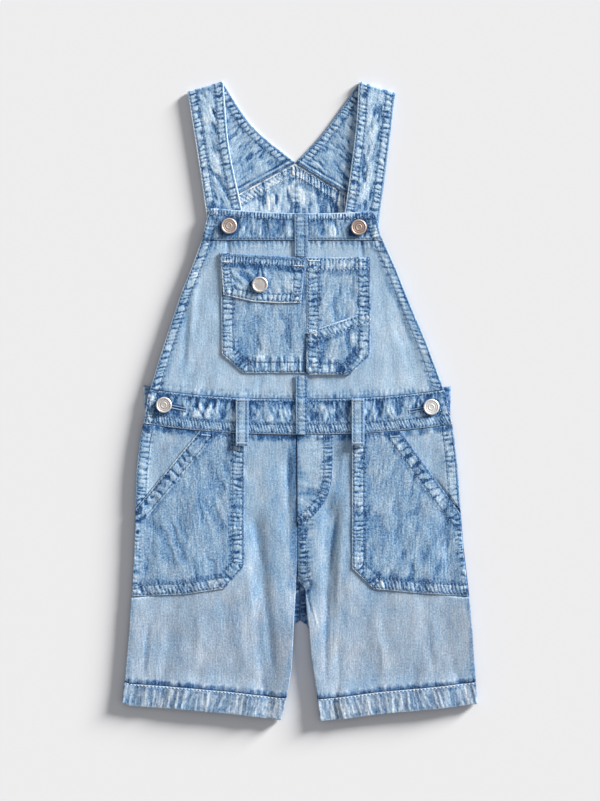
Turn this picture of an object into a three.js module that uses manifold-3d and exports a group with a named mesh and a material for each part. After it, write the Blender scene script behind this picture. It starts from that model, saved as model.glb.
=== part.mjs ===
// Short denim dungarees for a small child, buttoned up and laid flat on their back.
// Units are millimetres. +X is to the right as the front is seen, +Y runs towards the straps, and +Z
// points up from the surface that the garment lies on. The origin is the middle of its underside.
// Every cloth piece is a closed wall with a cut-out shape (sides, lower end, upper end), an underside
// that follows the layers beneath it, and a thickness. Neighbours in a seam are SEAM_GAP apart.
import * as THREE from "three";
import Module from "manifold-3d";
import { mergeVertices } from "three/addons/utils/BufferGeometryUtils.js";

// Cloth
const CLOTH = 1.2; // one layer of washed denim with its nap
const DOUBLE = 1.8; // two layers stitched together: bands and straps
const HEM_WALL = 2.0; // turned up twice
const LOOP_WALL = 1.6; // a belt loop is folded in three
const STRIP_WALL = 1.0; // the strip that covers the centre seam
const SEAM_GAP = 0.3;
const LAYER_GAP = 0.4; // between a panel and what is sewn on it

// How the front lies over the back
const LOFT = 2.6; // height that the front gains over its edges
const ROLL = 26; // width over which it gains that height
const EDGE_ON_LEGS = CLOTH + SEAM_GAP; // the front's underside at the side seams
const EDGE_ON_WAIST = DOUBLE + SEAM_GAP;
const STRAP_LIFT = 2.5; // height that the strap ends give the bib
const STRAP_GAP = 0.6; // between the two layers of a folded strap
// Heights (y) between which one way of lying passes into the next
const PASSING = {
  waist: [-60, -32], // from the edge on the legs to the edge on the waistband
  crotch: [-165, -95], // from two separate legs to one front
  straps: [96, 121], // from the bib to where the strap ends carry it
};

// Bands, loops and rows of gathers
const WAIST = { y: -27.5, rise: 9, half: 127, power: 2.3, height: 28.7 };
const BIB_BAND = { seam: 131.5, left: 157.4, dip: 2.8, right: 155.4, half: 68 };
const HEM_HEIGHT = 18.3;
const STRIP = { topLeft: -4.3, topRight: 7, lowLeft: -2.9, lowRight: 6.2, topY: 155, lowY: -27 };
const LOOP = { width: 10.4, top: 2.5, low: -36.6, leftX: -46.9, rightX: 47.8 };
const LOOP_LOW_END = { lift: 1.2, fullBelow: -28.6, noneAbove: -17.5 }; // where it lies on a pocket
const ROPING = { hem: 15, waist: 34, height: 0.5 };
const FLY_RISE = 0.5;
const BACK_LEG = { inset: 1, shorter: 1.5 }; // hidden behind the front at the sides and the hems

// Buttons: a metal cap on a neck that passes through a worked slit
const CAP = { radius: 7, thick: 2.2, rim: 0.9, dish: 0.4, side: 0.9 };
const NECK_RADIUS = 1.4;
const SLIT_WIDTH = 3.6;
const SLIT_REACH = { below: 5, above: 15 }; // how far the tool that cuts a slit reaches
const ROUND_STEPS = 20;
const SLIT_STEPS = 4;

// The garment's outline, from the leg openings up to the bib's top corners
const LEFT_SIDE = [
  { y: -247, x: -145.6 },
  { y: -225, x: -142.8 },
  { y: -189, x: -139.8 },
  { y: -159, x: -137.7 },
  { y: -105, x: -135.1 },
  { y: -58, x: -133.7 },
  { y: -32, x: -130.8 },
  { y: -16, x: -127.5 },
  { y: 4, x: -124.2 },
  { y: 38, x: -113.8 },
  { y: 62, x: -105.9 },
  { y: 89, x: -96.8 },
  { y: 111, x: -87.7 },
  { y: 132, x: -80.0 },
  { y: 151, x: -75.6 },
  { y: 158, x: -72.0 },
];
const RIGHT_SIDE = [
  { y: -248, x: 145.6 },
  { y: -216, x: 143.5 },
  { y: -189, x: 141.8 },
  { y: -159, x: 139.0 },
  { y: -117, x: 134.1 },
  { y: -92, x: 132.2 },
  { y: -53, x: 129.6 },
  { y: -32, x: 127.1 },
  { y: -16, x: 124.5 },
  { y: 3, x: 120.5 },
  { y: 28, x: 111.4 },
  { y: 49, x: 103.6 },
  { y: 64, x: 97.0 },
  { y: 84, x: 88.6 },
  { y: 106, x: 80.0 },
  { y: 122, x: 72.8 },
  { y: 135, x: 66.5 },
  { y: 150, x: 63.2 },
  { y: 156, x: 58.5 },
];
// The front's centre seam and, below the crotch, the two inside leg edges
const LEFT_INSEAM = [
  { y: -262, x: -15.4 },
  { y: -243, x: -10.5 },
  { y: -235, x: -8.9 },
  { y: -219, x: -6.3 },
  { y: -189, x: -4.8 },
  { y: -157, x: -3.2 },
  { y: -130, x: -1.95 },
  { y: -27, x: -2.55 },
];
const RIGHT_INSEAM = [
  { y: -262, x: 16.8 },
  { y: -240, x: 14.2 },
  { y: -224, x: 11.6 },
  { y: -209, x: 9.4 },
  { y: -189, x: 7.8 },
  { y: -172, x: 5.8 },
  { y: -154, x: 4.6 },
  { y: -147, x: -1.0 },
  { y: -130, x: -1.65 },
  { y: -27, x: -2.25 },
];
// The back's rise is longer, so its crotch hangs lower and shows between the legs
const BACK_LEFT_INSEAM = [
  { y: -262, x: -18 },
  { y: -225, x: -10 },
  { y: -200, x: -7 },
  { y: -184, x: -5 },
  { y: -180, x: 0.35 },
  { y: -27, x: 0.35 },
];
const BACK_RIGHT_INSEAM = [
  { y: -262, x: 20 },
  { y: -225, x: 14 },
  { y: -200, x: 10 },
  { y: -184, x: 6.5 },
  { y: -180, x: 0.65 },
  { y: -27, x: 0.65 },
];
const LEFT_HEM = [
  { x: -146, y: -246.8 },
  { x: -139, y: -249.6 },
  { x: -103, y: -252.2 },
  { x: -61, y: -255.8 },
  { x: -15, y: -261.2 },
];
const RIGHT_HEM = [
  { x: 16.8, y: -262 },
  { x: 33, y: -260.8 },
  { x: 65, y: -256.4 },
  { x: 112.5, y: -252.2 },
  { x: 145.6, y: -248 },
];

// Pockets: the left and right sides by height, and the lower ends
const HAND_POCKET_LEFT = {
  left: [
    { y: -160, x: -137.2 },
    { y: -105, x: -134.6 },
    { y: -88, x: -134 },
    { y: -25, x: -82.4 },
  ],
  right: [
    { y: -153.4, x: -61.1 },
    { y: -135.5, x: -45.1 },
    { y: -25, x: -45.1 },
  ],
  low: [
    { x: -138, y: -160 },
    { x: -93, y: -158.1 },
    { x: -61, y: -153.4 },
  ],
};
const HAND_POCKET_RIGHT = {
  left: [
    { y: -153.8, x: 60.8 },
    { y: -136.8, x: 42.9 },
    { y: -25, x: 42.9 },
  ],
  right: [
    { y: -160, x: 138.4 },
    { y: -117, x: 133.6 },
    { y: -92, x: 131.7 },
    { y: -25, x: 82.4 },
  ],
  low: [
    { x: 61, y: -153.8 },
    { x: 99, y: -157.4 },
    { x: 139, y: -159.7 },
  ],
};
const BIB_POCKET = {
  left: [
    { y: 23, x: -46.3 },
    { y: 38.5, x: -63.6 },
    { y: 121.4, x: -64.8 },
  ],
  divide: 5.3,
  right: [
    { y: 21.3, x: 41 },
    { y: 36.9, x: 57.8 },
    { y: 74, x: 58.4 },
    { y: 117.7, x: 57.4 },
  ],
  lowLeft: 22.8,
  lowRight: 21.6,
  top: [
    { x: -65, y: 121.4 },
    { x: 5.3, y: 117.2 },
    { x: 57.5, y: 117.6 },
  ],
  toolTop: [
    { x: 5.3, y: 55.8 },
    { x: 58.5, y: 74 },
  ],
};
const FLAP = {
  left: [
    { y: 86.8, x: -62.4 },
    { y: 121.4, x: -64.9 },
  ],
  right: [
    { y: 80.3, x: 1.2 },
    { y: 117.2, x: 5.0 },
  ],
  low: [
    { x: -62.5, y: 86.8 },
    { x: -38, y: 81.2 },
    { x: -16, y: 79.9 },
    { x: 1.5, y: 80.3 },
  ],
};
// The mock fly's raised ground on the right front, by the width that it has at each height
const FLY_WIDTH = [
  { y: -103, x: -2 },
  { y: -97, x: 8 },
  { y: -88, x: 17 },
  { y: -76, x: 24 },
  { y: -62, x: 27 },
  { y: -27, x: 27.5 },
];

// Straps: both edges from the end under the bib up to the fold, then down the back to the yoke seam
const STRAP_LEFT = {
  frontOuter: [[-72.8, 124.5], [-76.3, 151.7], [-83.6, 200.9], [-91.6, 251.3]],
  frontInner: [[-42.6, 131], [-47.7, 159.7], [-57.8, 208.7], [-62.3, 260]],
  backOuter: [[-91.6, 251.3], [-81.8, 205.8], [-73.2, 157.6]],
  backInner: [[-62.3, 260], [-38.4, 224.9], [-3.6, 195.4]],
};
const STRAP_RIGHT = {
  frontOuter: [[62.6, 127.1], [66, 153.3], [73.4, 208.6], [78.2, 250.1]],
  frontInner: [[32.4, 133.7], [37.6, 159.7], [45.8, 221.4], [48.4, 260]],
  backOuter: [[78.2, 250.1], [70.4, 205.8], [62.9, 155]],
  backInner: [[48.4, 260], [20.7, 221.4], [-3.2, 195.4]],
};
const BACK_BIB = {
  left: [
    { y: 8, x: -118 },
    { y: 38, x: -109 },
    { y: 89, x: -92 },
    { y: 132, x: -76.6 },
    { y: 157, x: -73 },
  ],
  right: [
    { y: 8, x: 115 },
    { y: 49, x: 99 },
    { y: 84, x: 84 },
    { y: 132, x: 65 },
    { y: 154.6, x: 62.7 },
  ],
  yoke: [
    { x: -73.2, y: 157.2 },
    { x: -3.4, y: 195 },
    { x: 62.9, y: 154.6 },
  ],
};
const BACK_WAIST = {
  left: [
    { y: -19, x: -126.5 },
    { y: 12, x: -128.3 },
  ],
  right: [
    { y: -20, x: 123.4 },
    { y: 12, x: 124 },
  ],
  extra: 2.5, // it stands this much higher than the front's waistband
};

// The largest soft folds of the front: a ridge or a trough along a line
const FOLDS = [
  { x0: 26, y0: -72, x1: 21, y1: -262, width: 11, height: -1.5 }, // right leg's trough
  { x0: 38, y0: -58, x1: 33, y1: -262, width: 11, height: 0.5 }, // and the ridge beside it
  { x0: -36, y0: -84, x1: -20, y1: -262, width: 11, height: -1.4 }, // left leg's trough
  { x0: -52, y0: -166, x1: -36, y1: -262, width: 12, height: 0.5 },
  { x0: -105, y0: -172, x1: -118, y1: -262, width: 13, height: -0.9 },
  { x0: -10, y0: -34, x1: -10, y1: -100, width: 8, height: -0.7 }, // beside the mock fly
  { x0: -92, y0: 84, x1: -94, y1: 20, width: 11, height: -0.9 }, // bib, beside the flap pocket
  { x0: 70, y0: 106, x1: 103, y1: 26, width: 9, height: -0.8 }, // bib, along the right edge
];
const FOLD_END = 22; // length over which a fold fades out
const FOLD_EDGE = 2; // how quickly a fold falls away across its line

// Buttons: where each stands, and the slit that its neck passes through
const BUTTONS = [
  { name: "bib_button_left", x: -57.6, y: 143.1, on: "band", slit: { length: 14, turn: -90 } },
  { name: "bib_button_right", x: 48.4, y: 142, on: "band", slit: { length: 14, turn: -90 } },
  { name: "side_button_left", x: -110.9, y: -3.3, on: "waist", slit: { length: 19, turn: -10 } },
  { name: "side_button_right", x: 107.8, y: -4.9, on: "waist", slit: { length: 19, turn: 190 } },
  { name: "flap_button", x: -32.4, y: 95.1, on: "flap", slit: { length: 17, turn: 90 } },
];

// Grid of each piece: columns across and rows along. Marks are the x or y of a corner of its outline,
// where the nearest column or row is moved to, so that the corner stays sharp.
const GRID = {
  legLeft: { columns: 14, rows: 18 },
  legRight: { columns: 14, rows: 18, rowMarks: [-154, -147] },
  hem: { columns: 45, rows: 2 },
  waistband: { columns: 102, rows: 2 },
  bib: { columns: 14, rows: 12 },
  bibBand: { columns: 20, rows: 3 },
  strip: { columns: 2, rows: 6 },
  handPocketLeft: { columns: 10, rows: 12, rowMarks: [-135.5, -88] },
  handPocketRight: { columns: 10, rows: 12, rowMarks: [-136.8, -92] },
  bibPocketLeft: { columns: 6, rows: 8, rowMarks: [38.5] },
  bibPocketRight: { columns: 5, rows: 8, rowMarks: [36.9] },
  toolPocket: { columns: 5, rows: 5, rowMarks: [36.9] },
  flap: { columns: 7, rows: 4 },
  loop: { columns: 2, rows: 6 },
  strap: { across: 4, front: 12, fold: 6, back: 9 },
  backLeg: { columns: 5, rows: 12, rowMarks: [-184, -180] },
  backWaistband: { columns: 12, rows: 1 },
  backBib: { columns: 8, rows: 8, columnMarks: [-3.4] },
};

// Materials, from the photo: pale washed denim and worn copper-nickel buttons
const DENIM = { color: 0xa9c2dd, roughness: 0.92, metalness: 0 };
const DENIM_DARK = { color: 0x7f9dc4, roughness: 0.92, metalness: 0 };
const BUTTON_METAL = { color: 0xcdb8a8, roughness: 0.38, metalness: 0.9 };

const wasm = await Module();
wasm.setup();

const lerp = THREE.MathUtils.lerp;
const smoothstep = THREE.MathUtils.smoothstep;

// Value of a table's column at a place along its other column, straight between rows.
function along(rows, key, at, value) {
  const last = rows.length - 1;
  let i = 0;
  while (i < last - 1 && at > rows[i + 1][key]) i++;
  const a = rows[i];
  const b = rows[i + 1];
  const t = THREE.MathUtils.clamp((at - a[key]) / (b[key] - a[key]), 0, 1);
  return lerp(a[value], b[value], t);
}
const xAt = (rows, y) => along(rows, "y", y, "x");
const yAt = (rows, x) => along(rows, "x", x, "y");

// The waistband's lower seam, which rises towards the sides; its upper one runs parallel.
const waistLow = (x) => WAIST.y + WAIST.rise * Math.abs(x / WAIST.half) ** WAIST.power;
const waistTop = (x) => waistLow(x) + WAIST.height;
// The bib's upper edge: a shallow curve that dips in the middle.
function bibTop(x) {
  const t = THREE.MathUtils.clamp((x / BIB_BAND.half + 1) / 2, 0, 1);
  return lerp(BIB_BAND.left, BIB_BAND.right, t) - BIB_BAND.dip * Math.sin(Math.PI * t);
}

// Sum of the folds at a point: each is a bell across its line and fades out at both ends.
function foldHeight(x, y) {
  let sum = 0;
  for (const f of FOLDS) {
    const dx = f.x1 - f.x0;
    const dy = f.y1 - f.y0;
    const length = Math.hypot(dx, dy);
    const s = ((x - f.x0) * dx + (y - f.y0) * dy) / length;
    const across = ((x - f.x0) * dy - (y - f.y0) * dx) / length;
    const fade = smoothstep(s, 0, FOLD_END) * (1 - smoothstep(s, length, length + FOLD_END));
    sum += f.height * fade * Math.exp(-FOLD_EDGE * (across / f.width) ** 2);
  }
  return sum;
}

// A quarter wave from 0 at an edge to 1 at ROLL inside it.
const rollOff = (distance) => Math.sin((Math.PI / 2) * THREE.MathUtils.clamp(distance / ROLL, 0, 1));

// Height of the front cloth's underside: low at the side seams and, below the crotch, at the inside
// leg seams, crowned between them, and carried by the strap ends at the top of the bib.
function frontUnder(x, y) {
  const edge = lerp(EDGE_ON_LEGS, EDGE_ON_WAIST, smoothstep(y, ...PASSING.waist));
  const toSide = Math.min(x - xAt(LEFT_SIDE, y), xAt(RIGHT_SIDE, y) - x);
  const inseam = x < 0 ? xAt(LEFT_INSEAM, y) - x : x - xAt(RIGHT_INSEAM, y);
  const split = 1 - smoothstep(y, ...PASSING.crotch);
  const crown = rollOff(toSide) * lerp(1, rollOff(Math.max(inseam, 0)), split);
  const lying = Math.max(0, crown * (LOFT + foldHeight(x, y)));
  return edge + lerp(lying, STRAP_LIFT, smoothstep(y, ...PASSING.straps));
}

// A closed wall from a grid of outer and inner points. Each function takes a column and a row.
function wall(columns, rows, outer, inner) {
  const points = [];
  const index = [];
  const across = columns + 1;
  const layer = across * (rows + 1);
  for (const side of [outer, inner])
    for (let j = 0; j <= rows; j++)
      for (let i = 0; i <= columns; i++) points.push(...side(i, j));
  const quad = (a, b, c, d) => index.push(a, b, c, a, c, d);
  for (let j = 0; j < rows; j++)
    for (let i = 0; i < columns; i++) {
      const a = j * across + i;
      quad(a, a + 1, a + 1 + across, a + across);
      quad(layer + a, layer + a + across, layer + a + 1 + across, layer + a + 1);
    }
  for (let i = 0; i < columns; i++) {
    const top = rows * across + i;
    quad(i, layer + i, layer + i + 1, i + 1);
    quad(top + 1, layer + top + 1, layer + top, top);
  }
  for (let j = 0; j < rows; j++) {
    const a = j * across;
    const b = a + columns;
    quad(a + across, layer + a + across, layer + a, a);
    quad(b, layer + b, layer + b + across, b + across);
  }
  const geometry = new THREE.BufferGeometry();
  geometry.setAttribute("position", new THREE.Float32BufferAttribute(points, 3));
  geometry.setIndex(index);
  return geometry;
}

// Turns a geometry's faces round, for a wall whose columns run the other way.
function turned(geometry) {
  const index = geometry.index.array;
  for (let i = 0; i < index.length; i += 3) [index[i + 1], index[i + 2]] = [index[i + 2], index[i + 1]];
  return geometry;
}

const SETTLE_ROUNDS = 12;

// Even shares from 0 to 1, with the share nearest to each mark moved onto it.
function shares(count, start, end, marks = []) {
  const made = Array.from({ length: count + 1 }, (_, i) => i / count);
  for (const mark of marks) {
    const share = (mark - start) / (end - start);
    const nearest = THREE.MathUtils.clamp(Math.round(share * count), 1, count - 1);
    made[made[nearest] === nearest / count ? nearest : nearest + 1] = share;
  }
  return made;
}

// A cloth piece cut to shape: left and right give x at a height, low and high give y at an x, under
// gives its underside and thick its wall. A few rounds settle x and y, because each needs the other.
function panel(grading, { left, right, low, high, under, thick, markX = 0 }) {
  const { columns, rows, columnMarks, rowMarks } = grading;
  const across = shares(columns, left(high(0)), right(high(0)), columnMarks);
  const upwards = shares(rows, low(markX), high(markX), rowMarks);
  const grid = [];
  for (const v of upwards)
    for (const u of across) {
      let y = lerp(low(0), high(0), v);
      let x = 0;
      for (let round = 0; round < SETTLE_ROUNDS; round++) {
        x = lerp(left(y), right(y), u);
        y = lerp(low(x), high(x), v);
      }
      grid.push([x, y, under(x, y), thick(x, y, u)]);
    }
  const at = (i, j) => grid[j * (columns + 1) + i];
  return wall(
    columns,
    rows,
    (i, j) => [at(i, j)[0], at(i, j)[1], at(i, j)[2] + at(i, j)[3]],
    (i, j) => at(i, j).slice(0, 3),
  );
}

// Small ridges across a band, as a stitched band draws up in the wash.
const roped = (base, count) => (x, y, u) =>
  base + (ROPING.height / 2) * (1 - Math.cos(2 * Math.PI * count * u));

// A point and its direction at a share of the way along a smooth line through the given points.
function lineThrough(points) {
  const curve = new THREE.SplineCurve(points.map(([x, y]) => new THREE.Vector2(x, y)));
  return (t) => curve.getPointAt(t);
}

// A strap: its front lies on its back, and both are one cloth that turns over at the shoulder fold.
function strap(table, mirrored) {
  const size = GRID.strap;
  const foldRadius = (STRAP_GAP + DOUBLE) / 2;
  const backZ = DOUBLE / 2;
  const frontZ = backZ + 2 * foldRadius;
  const rows = [];
  const add = (outer, inner, z, normal) => rows.push({ outer, inner, z, normal });
  const up = new THREE.Vector3(0, 0, 1);
  const frontOuter = lineThrough(table.frontOuter);
  const frontInner = lineThrough(table.frontInner);
  for (let j = 0; j < size.front; j++)
    add(frontOuter(j / size.front), frontInner(j / size.front), frontZ, up);
  const foldOuter = frontOuter(1);
  const foldInner = frontInner(1);
  const quarterTurn = mirrored ? -Math.PI / 2 : Math.PI / 2;
  const away = foldInner.clone().sub(foldOuter).normalize().rotateAround(new THREE.Vector2(), quarterTurn);
  for (let j = 0; j <= size.fold; j++) {
    const angle = Math.PI * (0.5 - j / size.fold);
    const out = away.clone().multiplyScalar(foldRadius * Math.cos(angle));
    const normal = new THREE.Vector3(away.x * Math.cos(angle), away.y * Math.cos(angle), Math.sin(angle));
    const z = backZ + foldRadius + foldRadius * Math.sin(angle);
    add(foldOuter.clone().add(out), foldInner.clone().add(out), z, normal);
  }
  const backOuter = lineThrough(table.backOuter);
  const backInner = lineThrough(table.backInner);
  for (let j = 1; j <= size.back; j++)
    add(backOuter(j / size.back), backInner(j / size.back), backZ, up.clone().negate());
  const point = (side) => (i, j) => {
    const { outer, inner, z, normal } = rows[j];
    const t = i / size.across;
    return [
      lerp(outer.x, inner.x, t) + (normal.x * side * DOUBLE) / 2,
      lerp(outer.y, inner.y, t) + (normal.y * side * DOUBLE) / 2,
      z + (normal.z * side * DOUBLE) / 2,
    ];
  };
  const made = wall(size.across, rows.length - 1, point(1), point(-1));
  return mirrored ? turned(made) : made;
}

// manifold-3d's solid of a geometry, and a geometry of a solid.
function solidOf(geometry) {
  const bare = geometry.clone();
  bare.deleteAttribute("normal");
  bare.deleteAttribute("uv");
  const merged = mergeVertices(bare);
  const vertProperties = new Float32Array(merged.attributes.position.array);
  const triVerts = new Uint32Array(merged.index.array);
  return new wasm.Manifold(new wasm.Mesh({ numProp: 3, vertProperties, triVerts }));
}
function geometryOf(solid) {
  const mesh = solid.getMesh();
  const geometry = new THREE.BufferGeometry();
  geometry.setAttribute("position", new THREE.BufferAttribute(new Float32Array(mesh.vertProperties), 3));
  geometry.setIndex(new THREE.BufferAttribute(new Uint32Array(mesh.triVerts), 1));
  return geometry;
}

// The slit for a button's neck: it runs from just behind the neck to its far end.
function slitCutter({ x, y, slit }) {
  const half = SLIT_WIDTH / 2;
  const outline = new THREE.Shape();
  outline.absarc(0, 0, half, Math.PI / 2, (3 * Math.PI) / 2);
  outline.absarc(slit.length - SLIT_WIDTH, 0, half, -Math.PI / 2, Math.PI / 2);
  const options = {
    depth: SLIT_REACH.below + SLIT_REACH.above,
    bevelEnabled: false,
    curveSegments: SLIT_STEPS,
  };
  const geometry = new THREE.ExtrudeGeometry(outline, options);
  geometry.rotateZ(THREE.MathUtils.degToRad(slit.turn));
  geometry.translate(x, y, -SLIT_REACH.below);
  return geometry;
}
function withSlits(geometry, place) {
  let solid = solidOf(geometry);
  for (const b of BUTTONS) if (b.on === place) solid = solid.subtract(solidOf(slitCutter(b)));
  return geometryOf(solid);
}

// A button: foot on what it is sewn to, neck through the slit, and a dished cap with a rolled rim.
function button(foot, capUnder) {
  const r = CAP.radius;
  const top = capUnder + CAP.thick;
  const profile = [
    [0, foot],
    [NECK_RADIUS, foot],
    [NECK_RADIUS, capUnder],
    [r - CAP.rim, capUnder],
    [r, capUnder + CAP.side],
    [r - CAP.rim / 3, top - CAP.rim / 4],
    [r - CAP.rim, top],
    [r - 2 * CAP.rim, top - CAP.dish],
    [0, top - CAP.dish / 2],
  ];
  const geometry = new THREE.LatheGeometry(profile.map(([a, b]) => new THREE.Vector2(a, b)), ROUND_STEPS);
  return geometry.rotateX(Math.PI / 2);
}

// Where the layers lie on the front: on the panel, on a pocket, on a band.
const onPanel = (x, y) => frontUnder(x, y) + CLOTH + LAYER_GAP;
const onPocket = (x, y) => onPanel(x, y) + CLOTH + LAYER_GAP;
const onBand = (x, y) => frontUnder(x, y) + DOUBLE + SEAM_GAP;
const onTheFloor = () => 0;
const thick = (value) => () => value;
const fixed = (value) => () => value;
const sideLeft = (y) => xAt(LEFT_SIDE, y);
const sideRight = (y) => xAt(RIGHT_SIDE, y);

const garment = new THREE.Group();
function add(name, geometry, look) {
  const mesh = new THREE.Mesh(geometry, new THREE.MeshStandardMaterial(look));
  mesh.name = name;
  mesh.geometry.computeVertexNormals();
  garment.add(mesh);
  return mesh;
}

// Front legs, from the waistband's seam to the hem. The right one carries the mock fly.
function frontLegs() {
  const flyWall = (x, y) => {
    const inside = y > FLY_WIDTH[0].y && x < xAt(FLY_WIDTH, y);
    return CLOTH + (inside ? FLY_RISE : 0);
  };
  const sides = [
    {
      name: "front_leg_left",
      grid: GRID.legLeft,
      left: sideLeft,
      right: (y) => xAt(LEFT_INSEAM, y),
      hem: LEFT_HEM,
      wallAt: thick(CLOTH),
    },
    {
      name: "front_leg_right",
      grid: GRID.legRight,
      left: (y) => xAt(RIGHT_INSEAM, y),
      right: sideRight,
      hem: RIGHT_HEM,
      wallAt: flyWall,
    },
  ];
  for (const { name, grid, left, right, hem, wallAt } of sides) {
    const hemTop = (x) => yAt(hem, x) + HEM_HEIGHT;
    const leg = {
      left,
      right,
      low: (x) => hemTop(x) + SEAM_GAP,
      high: (x) => waistLow(x) - SEAM_GAP,
      under: frontUnder,
      thick: wallAt,
    };
    add(name, panel(grid, leg), DENIM);
    const low = (x) => yAt(hem, x);
    const band = { left, right, low, high: hemTop, under: frontUnder, thick: roped(HEM_WALL, ROPING.hem) };
    add(name.replace("leg", "hem"), panel(GRID.hem, band), DENIM);
  }
}

// Back legs lie on the surface. Their hems end a little above the front's.
function backLegs() {
  const sides = [
    {
      name: "back_leg_left",
      left: (y) => sideLeft(y) + BACK_LEG.inset,
      right: (y) => xAt(BACK_LEFT_INSEAM, y),
      hem: LEFT_HEM,
    },
    {
      name: "back_leg_right",
      left: (y) => xAt(BACK_RIGHT_INSEAM, y),
      right: (y) => sideRight(y) - BACK_LEG.inset,
      hem: RIGHT_HEM,
    },
  ];
  for (const { name, left, right, hem } of sides) {
    const low = (x) => yAt(hem, x) + BACK_LEG.shorter;
    const high = (x) => waistLow(x) - SEAM_GAP;
    const leg = { left, right, low, high, under: onTheFloor, thick: thick(CLOTH) };
    add(name, panel(GRID.backLeg, leg), DENIM_DARK);
  }
}

function waistbands() {
  const front = {
    left: sideLeft,
    right: sideRight,
    low: waistLow,
    high: waistTop,
    under: frontUnder,
    thick: roped(DOUBLE, ROPING.waist),
  };
  add("front_waistband", withSlits(panel(GRID.waistband, front), "waist"), DENIM);
  const back = {
    left: (y) => xAt(BACK_WAIST.left, y),
    right: (y) => xAt(BACK_WAIST.right, y),
    low: waistLow,
    high: (x) => waistTop(x) + BACK_WAIST.extra,
    under: onTheFloor,
    thick: thick(DOUBLE),
  };
  add("back_waistband", panel(GRID.backWaistband, back), DENIM_DARK);
}

function bib() {
  const panelPiece = {
    left: sideLeft,
    right: sideRight,
    low: (x) => waistTop(x) + SEAM_GAP,
    high: fixed(BIB_BAND.seam - SEAM_GAP),
    under: frontUnder,
    thick: thick(CLOTH),
  };
  add("bib_panel", panel(GRID.bib, panelPiece), DENIM);
  const band = {
    left: sideLeft,
    right: sideRight,
    low: fixed(BIB_BAND.seam),
    high: bibTop,
    under: frontUnder,
    thick: thick(DOUBLE),
  };
  add("bib_top_band", withSlits(panel(GRID.bibBand, band), "band"), DENIM);
}

// The strip over the centre seam shows above the bib pocket and again below it.
function centreStrips() {
  const edge = (top, low) => (y) =>
    lerp(low, top, (y - STRIP.lowY) / (STRIP.topY - STRIP.lowY));
  const left = edge(STRIP.topLeft, STRIP.lowLeft);
  const right = edge(STRIP.topRight, STRIP.lowRight);
  const pocketTop = (x) => yAt(BIB_POCKET.top, x) + 2 * SEAM_GAP;
  const pieces = [
    { name: "centre_strip_upper", low: pocketTop, high: (x) => bibTop(x) - SEAM_GAP },
    { name: "centre_strip_lower", low: waistLow, high: fixed(BIB_POCKET.lowRight - 2 * SEAM_GAP) },
  ];
  const underAt = (x, y) => onBand(x, y) + (y < waistTop(x) ? ROPING.height : 0);
  for (const { name, low, high } of pieces) {
    const cut = { left, right, low, high, under: underAt, thick: thick(STRIP_WALL) };
    add(name, panel(GRID.strip, cut), DENIM);
  }
}

function bibPockets() {
  const half = SEAM_GAP / 2;
  const top = (x) => yAt(BIB_POCKET.top, x);
  const leftPiece = {
    markX: BIB_POCKET.left[1].x,
    left: (y) => xAt(BIB_POCKET.left, y),
    right: fixed(BIB_POCKET.divide - half),
    low: fixed(BIB_POCKET.lowLeft),
    high: top,
    under: onPanel,
    thick: thick(CLOTH),
  };
  add("bib_pocket_left", panel(GRID.bibPocketLeft, leftPiece), DENIM);
  const rightPiece = {
    markX: BIB_POCKET.right[1].x,
    left: fixed(BIB_POCKET.divide + half),
    right: (y) => xAt(BIB_POCKET.right, y),
    low: fixed(BIB_POCKET.lowRight),
    high: top,
    under: onPanel,
    thick: thick(CLOTH),
  };
  add("bib_pocket_right", panel(GRID.bibPocketRight, rightPiece), DENIM);
  const tool = { ...rightPiece, high: (x) => yAt(BIB_POCKET.toolTop, x), under: onPocket };
  add("bib_tool_pocket", panel(GRID.toolPocket, tool), DENIM);
  const flap = {
    left: (y) => xAt(FLAP.left, y),
    right: (y) => xAt(FLAP.right, y),
    low: (x) => yAt(FLAP.low, x),
    high: top,
    under: onPocket,
    thick: thick(CLOTH),
  };
  add("pocket_flap", withSlits(panel(GRID.flap, flap), "flap"), DENIM);
}

function handPockets() {
  const sides = [
    { name: "hand_pocket_left", table: HAND_POCKET_LEFT, grid: GRID.handPocketLeft },
    { name: "hand_pocket_right", table: HAND_POCKET_RIGHT, grid: GRID.handPocketRight },
  ];
  for (const { name, table, grid } of sides) {
    const cut = {
      markX: table.low[1].x,
      left: (y) => xAt(table.left, y),
      right: (y) => xAt(table.right, y),
      low: (x) => yAt(table.low, x),
      high: (x) => waistLow(x) - SEAM_GAP,
      under: onPanel,
      thick: thick(CLOTH),
    };
    add(name, panel(grid, cut), DENIM);
  }
}

// Each loop starts on the waistband's top edge and ends over the corner of a hand pocket.
function beltLoops() {
  const rise = (y) => 1 - smoothstep(y, LOOP_LOW_END.fullBelow, LOOP_LOW_END.noneAbove);
  const underAt = (x, y) => onBand(x, y) + ROPING.height + LOOP_LOW_END.lift * rise(y);
  for (const [name, x] of [["belt_loop_left", LOOP.leftX], ["belt_loop_right", LOOP.rightX]]) {
    const left = fixed(x - LOOP.width / 2);
    const right = fixed(x + LOOP.width / 2);
    const ends = { low: fixed(LOOP.low), high: fixed(LOOP.top) };
    const cut = { left, right, ...ends, under: underAt, thick: thick(LOOP_WALL) };
    add(name, panel(GRID.loop, cut), DENIM);
  }
}

function straps() {
  add("strap_left", strap(STRAP_LEFT, false), DENIM);
  add("strap_right", strap(STRAP_RIGHT, true), DENIM);
  const back = {
    left: (y) => xAt(BACK_BIB.left, y),
    right: (y) => xAt(BACK_BIB.right, y),
    low: (x) => waistTop(x) + BACK_WAIST.extra + SEAM_GAP,
    high: (x) => yAt(BACK_BIB.yoke, x) - SEAM_GAP,
    under: onTheFloor,
    thick: thick(CLOTH),
  };
  add("back_bib", panel(GRID.backBib, back), DENIM_DARK);
}

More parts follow.
